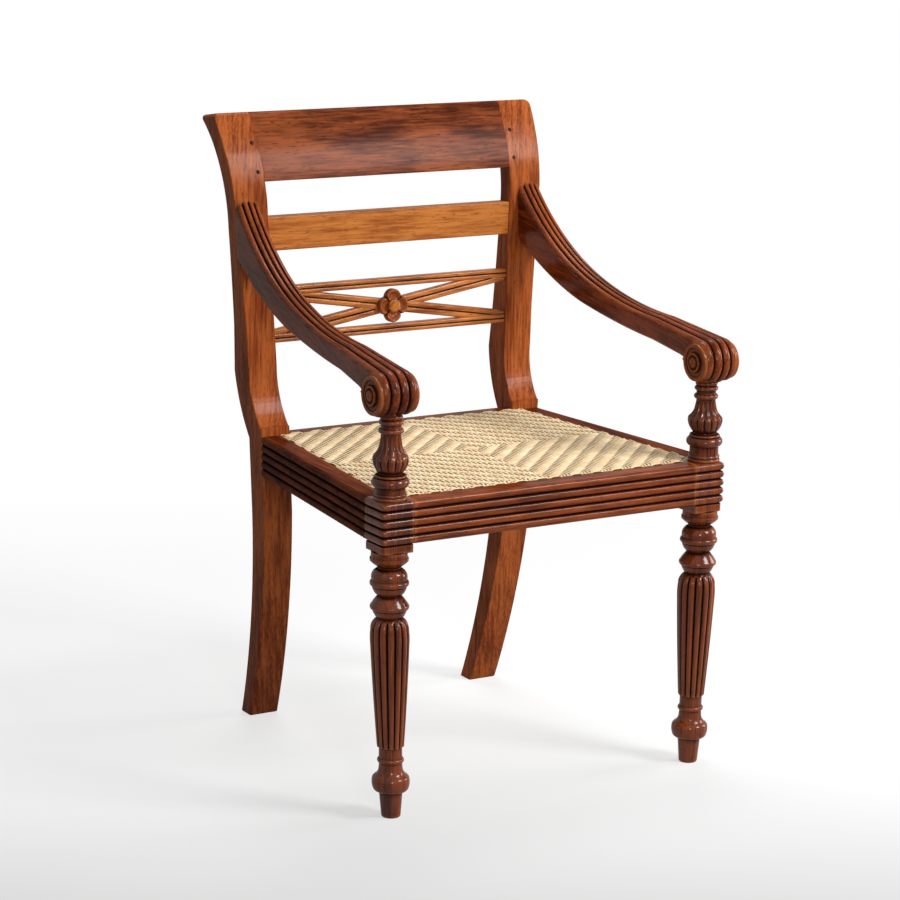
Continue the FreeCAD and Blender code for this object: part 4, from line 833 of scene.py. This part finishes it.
def turned(line, middle_x, middle_y, count, cut):
    """Rings of a turned part with count reeds, from (radius, height) points. cut(height, share)
    says how deep the surface lies, where share is 0 on a reed's crown and 1 beside it."""
    rings = []
    for radius, height in line:
        ring = []
        for index, turn in enumerate(turns(count * TURN_STEPS)):
            share = abs((index / TURN_STEPS) % 1 - 0.5) * 2
            reach = radius - cut(height, share)
            ring.append((middle_x + reach * math.cos(turn), middle_y + reach * math.sin(turn), height))
        rings.append(ring)
    return rings


# %% Front legs
LEG_HEIGHT = RAIL_BOTTOM - 12
LEG_X = FRONT_HALF - BLOCK / 2
LEG_Y = BLOCK / 2
REED_START, REED_END = 100.6, 281
LEG_REEDS, LEG_REED_DEPTH, LEG_REED_WIDTH = 14, 3.8, 0.92
SHALLOW_SHARE, REED_FULL = 0.75, REED_START + 120
REED_TIP, TIP_STEPS = 5.0, 5
BLOCK_EDGE, CORNER_ROUND, CORNER_ROUND_STEPS = 0.8, 6.5, 6
RIGHT_LEAN, LEFT_LEAN = 4.0, 9.5


def leg_cut(height, share):
    """The leg's reeds: square at their lower ends and fading out in the neck above them."""
    if not REED_START - 0.01 <= height <= REED_END:
        return 0.0
    fade = progress(height, REED_END, REED_END - REED_TIP)
    growth = (1 - SHALLOW_SHARE) * progress(height, REED_START, REED_FULL)
    return LEG_REED_DEPTH * (SHALLOW_SHARE + growth) * fade * bead(share, LEG_REED_WIDTH)


leg_line = turned_line(LEG_OUTLINE)
tip_heights = [REED_END - REED_TIP * step / TIP_STEPS for step in range(1, TIP_STEPS)]
leg_line += [(line_at(leg_line, height), height) for height in tip_heights]
leg_line.sort(key=lambda point: point[1])
block_rings = []
plain_band = [
    (LEG_HEIGHT, 2.9), (LEG_HEIGHT + 0.6, 2.3),
    (RAIL_BOTTOM - 1.2, 2.3), (RAIL_BOTTOM - 0.2, REED_DEPTH + 0.6),
]
for height, cut in plain_band + list(zip(reed_heights, reed_cuts)):
    low_x, high_x = FRONT_HALF - BLOCK, FRONT_HALF - cut
    corners = [(low_x, cut), (high_x, cut), (high_x, BLOCK), (low_x, BLOCK)]
    ring = rounded(corners, [BLOCK_EDGE, CORNER_ROUND, BLOCK_EDGE, BLOCK_EDGE], CORNER_ROUND_STEPS)
    block_rings.append([(x, y, height) for x, y in ring])


def leg_shape(lean):
    """A leg under its block, whose foot stands a lean further in, as the joints were cut by hand."""
    rings = turned(leg_line, LEG_X, LEG_Y, LEG_REEDS, leg_cut)
    for index, ring in enumerate(rings):
        inward = lean * (1 - ring[0][2] / LEG_HEIGHT)
        rings[index] = [(x - inward, y, z) for x, y, z in ring]
    return Shape().loft(rings).loft(block_rings)


leg_teak = teak("leg teak", UPRIGHT, LEG_TONES, 4.4, 0.65, 0.5, 0.4, 0.15)
pair("front_leg", leg_teak, leg_shape(RIGHT_LEAN), leg_shape(LEFT_LEAN))

# %% [markdown]
# The arm supports stand on the blocks. Each is a turned baluster: a stepped base and a torus,
# then a vase with rounded lobes below its sharp ridge and narrow flutes above it, rings round its
# neck and a cap under the scroll. They are made like the legs, with another outline and other
# cuts. They were turned by hand, so the two differ: the right one has a taller base and stands a
# little further out, and its arm does too.

# %% Arm supports
SUPPORT_OUTLINE = [
    (0, 21.8), (0.3, 22.0, 2.3, 22.8), (4.3, 21.8), (4.8, 21.3), (5.1, 21.5, 7.0, 22.3), (8.9, 21.3),
    (9.5, 20.5), (16.6, 20.2), (17.2, 21.4, 23.8, 25.7), (29.4, 22.6), (30.0, 20.6),
    (30.2, 20.8, 32.0, 21.7), (33.9, 20.0), (34.6, 16.8), (36.5, 16.4, 44.6, 22.2), (53.6, 24.6),
    (57, 24.3), (59.8, 23.2, 66, 18.4), (75.4, 15.3), (84, 13.8), (88.8, 13.5), (89.6, 14.6, 93.4, 17.2),
    (96.6, 14.8), (97.0, 14.2, 99.4, 13.7), (101.6, 14.4), (102.0, 15.0, 104.8, 16.8), (107.6, 15.0),
    (108.6, 14.2), (109.2, 14.6, 111.6, 15.6), (114.2, 14.4), (120, 16.6),
]
SUPPORT_FLUTES = 14
LOBE_DEPTH, LOBE_POWER = 2.3, 2.6
FLUTE_DEPTH, FLUTE_LIP, FLUTE_GROWTH = 2.6, 0.9, 0.6
FLUTE_TAPER, FLUTE_TIP = 0.45, 0.06
SCROLL_Z = SEAT_TOP + 146
SCROLL_Y = 22
SCROLL_RADIUS = 31
LOBE_START, LOBE_FULL, RIDGE, FLUTE_END = 37.0, 43.0, 57.0, 88.0
RIGHT_SHIFT, RIGHT_LIFT = 2.5, 5.0
LIFT_START, LIFT_FULL = 9.0, 17.0


def support_cut(height, share):
    """Rounded lobes below the ridge of the vase, and hollow flutes with sharp edges above it."""
    if not LOBE_START <= height <= FLUTE_END:
        return 0.0
    if height <= RIDGE:
        return LOBE_DEPTH * progress(height, LOBE_START, LOBE_FULL) * bead(share, 1.0, LOBE_POWER)
    way = (height - RIDGE) / (FLUTE_END - RIDGE)
    depth = min(FLUTE_DEPTH, FLUTE_LIP + (height - RIDGE) * FLUTE_GROWTH)
    fade = (1 - FLUTE_TAPER * way) * min(1.0, (1 - way) / FLUTE_TIP)
    return depth * fade * (1 - (1 - share) ** 2)


def support_shape(shift, lift):
    """A support that stands a shift further out, with its bulbs a lift higher."""
    rings = turned(turned_line(SUPPORT_OUTLINE), LEG_X + shift, LEG_Y, SUPPORT_FLUTES, support_cut)
    for index, ring in enumerate(rings):
        height = ring[0][2]
        below = progress(height, LIFT_START, LIFT_FULL)
        above = progress(height, FLUTE_END, RIDGE)
        rings[index] = [(x, y, SEAT_TOP + z + lift * below * above) for x, y, z in ring]
    return Shape().loft(rings)


support_teak = teak("support teak", UPRIGHT, LEG_TONES, 5.2, 0.5, 0.5, 0.4, 0.15)
pair("arm_support", support_teak, support_shape(RIGHT_SHIFT, RIGHT_LIFT), support_shape(0, 0))

# %% [markdown]
# An arm sweeps down from the post, rests nearly level above the seat and rolls into a scroll over
# the support. Four reeds run along its top, widen with it and wrap round the scroll. A section
# swept along one curve can't turn round a roll as thick as itself. So each ring of the arm joins a
# point of the top line to a point of the underside. Round the scroll the top line goes on along
# the roll, and the underside stays at one point, so the rings open like a fan.

# %% Arms
ARM_REAR_RISE = (BACK_TOP - SEAT_TOP) * 0.614  # a share of the rise of the back
ARM_REAR_INSET, ARM_FRONT_OUTSET = 14.5, 3
ARM_REAR_X = outer_half(SEAT_TOP + ARM_REAR_RISE) - ARM_REAR_INSET
RIGHT_ARM_SHIFT, LEFT_ARM_SHIFT = 4.0, 0.5
ARM_REEDS, ARM_REED_DEPTH, ARM_REED_WIDTH, ARM_REED_POWER = 4, 4.2, 0.93, 1.7
ARM_REED_STEPS = 10
ARM_CROWN, SCROLL_CROWN = 4.0, 4.4
ARM_WIDTH, ARM_SWELL, ARM_SWELL_START = 37, 19, 280
ARM_EDGE = 2.5
SCROLL_DROP, SCROLL_STEPS, SCROLL_SWEEP = 1.8, 36, math.radians(262)
REAR_STEPS, REST_STEPS, LEVEL_STEPS = 16, 14, 8


def arm_line(rear_rise, elbow, rear_shares, rest, rest_shares, end):
    """A line of the arm in Y and Z, from the post over its elbow to its rest and its end. The
    points are given as the distance behind the seat's front and the rise above the seat."""
    rear = (line_at(POST_FRONT, SEAT_TOP + rear_rise), SEAT_TOP + rear_rise)
    elbow, rest, end = [(y, SEAT_TOP + rise) for y, rise in (elbow, rest, end)]
    to_rest = bent(elbow, rest, rest_shares, REST_STEPS)
    return bent(rear, elbow, rear_shares, REAR_STEPS) + to_rest + straight(rest, end, LEVEL_STEPS)


top_line = arm_line(340, (300, 221), (0.42, 0.565), (130, 190), (0.53, 0.735), (22, 177))
low_line = arm_line(255, (311.6, 183), (0.44, 0.55), (130, 157), (0.5, 0.63), (53, 146))
for step in range(SCROLL_STEPS + 1):
    turn = math.pi / 2 + SCROLL_SWEEP * step / SCROLL_STEPS
    rise = (SCROLL_RADIUS + SCROLL_DROP) * math.sin(turn) - SCROLL_DROP
    top_line.append((SCROLL_Y + SCROLL_RADIUS * math.cos(turn), SCROLL_Z + rise))
    low_line.append((SCROLL_Y + SCROLL_RADIUS, SCROLL_Z - 0.5))


def arm_width(y):
    """The arm's width, which grows towards the scroll."""
    way = progress(y, ARM_SWELL_START, 0)
    return ARM_WIDTH + ARM_SWELL * way * way * (2 - way)


reed_sides = []
for reed in range(ARM_REEDS):
    for step in range(ARM_REED_STEPS):
        way = (1 - math.cos(math.pi * step / ARM_REED_STEPS)) / 2
        reed_sides.append(2 * (reed + way) / ARM_REEDS - 1)
reed_sides.append(1.0)


def arm_ring(index, front_x):
    """The ring of an arm at one point of its top line."""
    top, low = top_line[index], low_line[index]
    before, after = top_line[max(0, index - 1)], top_line[min(len(top_line) - 1, index + 1)]
    run = Vector((after[0] - before[0], after[1] - before[1])).normalized()
    rise = Vector((run.y, -run.x))
    in_scroll = index >= len(top_line) - SCROLL_STEPS - 1
    back = 0.0 if in_scroll else max(0.0, (top[0] - SCROLL_Y) / (SEAT_DEPTH - SCROLL_Y))
    width = arm_width(0 if in_scroll else top[0])
    middle = front_x + (ARM_REAR_X - front_x) * back
    crown = SCROLL_CROWN if in_scroll else ARM_CROWN
    ring = []
    for side in reed_sides:
        share = 1.0 if abs(side) > 0.999 else abs(((side + 1) / 2 * ARM_REEDS) % 1 - 0.5) * 2
        cut = crown * side * side + ARM_REED_DEPTH * bead(share, ARM_REED_WIDTH, ARM_REED_POWER)
        ring.append((middle + side * width / 2, top[0] - rise.x * cut, top[1] - rise.y * cut))
    toward = Vector((low[0] - top[0], low[1] - top[1])).normalized() * ARM_EDGE
    for side, lift, inset in ((1, 1, 0), (1, 0, ARM_EDGE), (-1, 0, ARM_EDGE), (-1, 1, 0)):
        x = middle + side * (width / 2 - inset)
        ring.append((x, low[0] - toward.x * lift, low[1] - toward.y * lift))
    return ring


EYE_PROFILE = [
    (26.6, -3.4), (26.9, -0.4), (26.4, 1.2), (25.2, 2.2), (23.6, 2.5), (21.8, 2.1), (20.5, 1.0),
    (20.0, -0.5), (14.6, -0.5), (14.0, 0.6), (13.8, 3.2), (13.0, 4.3), (11.8, 4.6), (10.6, 4.0),
    (9.6, 2.6), (8.6, 2.6), (7.6, 4.0), (6.6, 5.3), (5.0, 5.9), (2.5, 6.2), (0.4, 6.2),
]
EYE_Z, EYE_TURNS, EYE_SEATED = SCROLL_Z - 3, 64, 0.2


def arm_shape(shift):
    """An arm whose scroll stands a shift further out, with an eye on each end of the roll."""
    front_x = LEG_X + ARM_FRONT_OUTSET + shift
    shape = Shape().loft([arm_ring(index, front_x) for index in range(len(top_line))])
    for side in (1, -1):
        rings = []
        for radius, height in EYE_PROFILE:
            x = front_x + side * (arm_width(0) / 2 - EYE_SEATED + height)
            ring = [(x, SCROLL_Y + radius * math.cos(turn), EYE_Z + radius * math.sin(turn))
                    for turn in turns(EYE_TURNS)]
            rings.append(ring if side > 0 else ring[::-1])
        shape.loft(rings)
    return shape


arm_teak = teak("arm teak", (0.0, 1.0, 0.25), BROWN_TONES, 6.1, 0.5, 0.25, 0.4, 0.16)
pair("arm", arm_teak, arm_shape(RIGHT_ARM_SHIFT), arm_shape(LEFT_ARM_SHIFT))

# %% [markdown]
# The seat is woven from flat strands of rattan. Each strand goes over three and under three, and
# each next strand starts one step further, which gives slanting bands. The strands that run
# backward are narrower, so dark gaps stay open between them. The step turns round at the
# middle of the seat in both directions, so the bands form diamonds. A bump could draw that on a
# flat panel, but its gaps would stay shallow, so every strand is a loft of its own in one mesh.
# The strands run over the edge of the seat frame and end between the frame and the rails.

# %% Woven seat
STRAND_PITCH = 5.65
ACROSS_WIDTH, BACKWARD_WIDTH = 5.1, 3.5
STRAND_RISE, STRAND_THICK = 1.0, 1.3
STRAND_SECTION = ((-0.5, 0.0), (-0.3, 0.42), (0.0, 0.56), (0.3, 0.42), (0.5, 0.0), (0.0, -0.4))
SEAT_EDGE, REAR_GAP = 30.5, 0.5
EDGE_RUN = 3.5
EDGE_POINTS = ((0, 4.0), (0.5, 1.4), (EDGE_RUN, 0))
WEAVE_Z = SEAT_TOP + 0.2
BACKING_INSET, BACKING_LEVELS = 1, (SEAT_TOP - 4.8, SEAT_TOP - 2.2)


def seat_half(y):
    """Half the width of the woven seat at a distance behind the front."""
    return side_x(max(y, BLOCK), SEAT_EDGE)


def wave(column, row):
    """The height of the strand that runs across at a crossing: over three and under three."""
    return STRAND_RISE if (abs(column) + abs(row)) % 6 < 3 else -STRAND_RISE


def strand(shape, path, width):
    """A flat strand along (x, y, z) points, with its crown on top."""
    start, end = Vector(path[0]), Vector(path[-1])
    aside = Vector((end.y - start.y, start.x - end.x, 0)).normalized()
    shape.loft([
        [
            Vector(point) + aside * (width * share) + Vector((0, 0, STRAND_THICK * lift))
            for share, lift in STRAND_SECTION
        ]
        for point in path
    ])


seat_middle = (SEAT_EDGE + SEAT_DEPTH) / 2
row_count = int((SEAT_DEPTH - REAR_GAP - SEAT_EDGE) / STRAND_PITCH / 2)
column_count = int(seat_half(0) / STRAND_PITCH)
weave = Shape()
for row in range(-row_count, row_count + 1):
    y = seat_middle + row * STRAND_PITCH
    half = seat_half(y)
    path = [(-half + run, y, WEAVE_Z - drop) for run, drop in EDGE_POINTS]
    reach = int((half - EDGE_RUN - 1) / STRAND_PITCH)
    for column in range(-reach, reach + 1):
        path.append((column * STRAND_PITCH, y, WEAVE_Z + wave(column, row)))
    path += [(-x, y, z) for x, y, z in path[2::-1]]
    strand(weave, path, ACROSS_WIDTH)
for column in range(-column_count, column_count + 1):
    x = column * STRAND_PITCH
    far = SEAT_DEPTH - REAR_GAP
    while seat_half(far) < abs(x) + 0.5 and far > BLOCK:
        far -= 1.0
    path = [(x, SEAT_EDGE + run, WEAVE_Z - drop) for run, drop in EDGE_POINTS]
    for row in range(-row_count, row_count + 1):
        y = seat_middle + row * STRAND_PITCH
        if SEAT_EDGE + EDGE_RUN + 1 < y < far - EDGE_RUN - 1:
            path.append((x, y, WEAVE_Z - wave(column, row)))
    path += [(x, far - run, WEAVE_Z - drop) for run, drop in EDGE_POINTS[::-1]]
    strand(weave, path, BACKWARD_WIDTH)
backing = [
    (seat_half(0) - BACKING_INSET, SEAT_EDGE + BACKING_INSET),
    (seat_half(BLOCK) - BACKING_INSET, BLOCK),
    (seat_half(SEAT_DEPTH) - BACKING_INSET, SEAT_DEPTH - REAR_GAP - BACKING_INSET),
]
backing += [(-x, y) for x, y in backing[::-1]]
weave.loft([[(x, y, z) for x, y in backing] for z in BACKING_LEVELS])

# %% [markdown]
# Rattan cane is pale straw with brown patches and fine fibres. It has no varnish, only a dull shine. Two
# noises, one of them fine, blend the two tones. The gaps between the strands are painted dark brown, a
# painted shade, like the grooves of the wood.

# %% Rattan
GAP_REACH, GAP_SPAN, GAP_SHADE = 0.005, (0.58, 0.94), (0.085, 0.038, 0.012)
rattan = Finish("rattan")
place = rattan.node("ShaderNodeTexCoord", {}, {}, "Object")
fibres = rattan.noise(place, 900, 2)
patches = rattan.noise(place, 60, 3)
tone = (fibres * 0.5 + patches * 0.5).between(0.36, 0.64).blend((0.75, 0.52, 0.28), (0.96, 0.80, 0.525))
# The gaps between strands are painted dark brown here: painted shade.
open_air = rattan.crevice(GAP_REACH).between(*GAP_SPAN)
tone = open_air.blend(GAP_SHADE, tone)
rattan.surface(Base_Color=tone, Roughness=0.55, Specular_IOR_Level=0.2)
piece("woven_seat_shown", weave, rattan.material, "rattan", "woven_seat")

# %% [markdown]
# What is plain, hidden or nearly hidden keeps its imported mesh: the rear rail, the slats of the
# seat frame, the corner blocks, the screws and their plugs. They only get a finish.

# %% Plain pieces
hardwood = teak("pale hardwood", ACROSS, ((0.36, 0.20, 0.09), (0.60, 0.40, 0.21)), 7.3)
rear_teak = teak("rear rail teak", ACROSS, BROWN_TONES, 8.1)
steel = Finish("steel")
steel.surface(Base_Color=(0.42, 0.40, 0.37), Metallic=1.0, Roughness=0.38)

finishes = {"hardwood": hardwood, "steel": steel.material, "teak": peg_teak}
for name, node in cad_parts.items():
    if node.hide_render:
        continue
    kind = node.material_slots[0].name.split(".")[0] if node.material_slots else ""
    finish = rear_teak if name == "rear_seat_rail" else finishes.get(kind, peg_teak)
    node.data.materials.clear()
    node.data.materials.append(finish)
    print(name, kind, finish.name)

# %% [markdown]
# The chair stands on a pale studio floor. Its colour is painted light grey in front and towards the left
# and fades to white behind, a painted shade. More light would make the wood too pale. So a ray that sees
# the floor, straight or by way of gloss or glass, takes two thirds of it as paper that glows by itself,
# and the rest keeps a faint shadow.

# %% Floor
floor_data = bpy.data.meshes.new("floor")
FLOOR_REACH = 6.0
PAPER_SHARE = 0.66
PAPER_SPAN, FADE_SPAN = (-1.25, 0.15), (0.45, 1.6)
TOWARD_BACK = Vector((0.40, 0.92, 0.0))
floor_sides = ((-1, -1), (1, -1), (1, 1), (-1, 1))
floor_corners = [(x * FLOOR_REACH, y * FLOOR_REACH, 0) for x, y in floor_sides]
floor_data.from_pydata(floor_corners, [], [(0, 1, 2, 3)])
floor = bpy.data.objects.new("floor", floor_data)
bpy.context.scene.collection.objects.link(floor)


def seeing_ray(nodes):
    """1 for a ray that shows what it meets, straight or by way of gloss or glass."""
    camera_ray, gloss_ray, glass_ray = [
        nodes.node("ShaderNodeLightPath", {}, {}, f"Is {kind} Ray")
        for kind in ("Camera", "Glossy", "Transmission")
    ]
    return camera_ray.larger(gloss_ray).larger(glass_ray)


ground = Finish("studio floor")
place = ground.node("ShaderNodeTexCoord", {}, {}, "Object")
behind = ground.along(place, TOWARD_BACK)
# The paper is painted grey towards the front and the left: painted shade.
shaded_paper = behind.between(*PAPER_SPAN).blend((0.57, 0.57, 0.57), (1.0, 1.0, 1.0))
seen = seeing_ray(ground)
ground.surface(Base_Color=seen.blend((0.4, 0.4, 0.4), shaded_paper), Roughness=0.8, Specular_IOR_Level=0.0)
plain = ground.node("ShaderNodeEmission", {}, {"Color": shaded_paper, "Strength": 1.0})
lit = Signal(ground, ground.shader.outputs[0])
part_plain = ground.node("ShaderNodeMixShader", {}, {0: seen * PAPER_SHARE, 1: lit, 2: plain})
clear = ground.node("ShaderNodeBsdfTransparent", {}, {})
faded = ground.node("ShaderNodeMixShader", {}, {0: behind.between(*FADE_SPAN), 1: part_plain, 2: clear})
ground.feed(ground.tree.nodes["Material Output"].inputs["Surface"], faded)
floor_data.materials.append(ground.material)
print("floor", 2 * FLOOR_REACH, "m wide")

# %% [markdown]
# The world around the studio is white wherever a ray shows it, so varnish and steel mirror a white
# room. As a light it is weak, because light from all sides would flatten the carving.

# %% World
AMBIENT = 0.11
world = bpy.data.worlds.new("studio")
world.use_nodes = True
bpy.context.scene.world = world
sky = Nodes(world.node_tree)
background = sky.tree.nodes["Background"]
sky.feed(background.inputs["Color"], (1.0, 1.0, 1.0))
sky.feed(background.inputs["Strength"], seeing_ray(sky) * (1 - AMBIENT) + AMBIENT)
bpy.context.scene.view_settings.view_transform = "Standard"
print("ambient light", AMBIENT)

# %% [markdown]
# A large soft key light hangs to the right in front, and a weak one fills from beside the camera.
# One at the right side draws the glints along the turned legs and supports, and one above and
# behind lights the top edges. All are soft boxes, because small lamps would leave hard shadows.

# %% Lights
LIGHT_AIM = Vector((0, 0, 0.4))


def soft_light(name, place, size, power):
    """A square area light that looks at the middle of the chair."""
    data = bpy.data.lights.new(name, "AREA")
    data.size = size
    data.energy = power
    light = bpy.data.objects.new(name, data)
    bpy.context.scene.collection.objects.link(light)
    light.location = place
    light.rotation_euler = (LIGHT_AIM - Vector(place)).to_track_quat("-Z", "Y").to_euler()
    print(name, power, "W")


soft_light("key", (1.55, -2.1, 2.4), 0.95, 82)
soft_light("front", (-1.2, -3.0, 1.35), 0.5, 23)
soft_light("side", (2.4, -0.5, 1.0), 0.8, 24)
soft_light("top", (0.4, 0.6, 2.8), 1.0, 30)
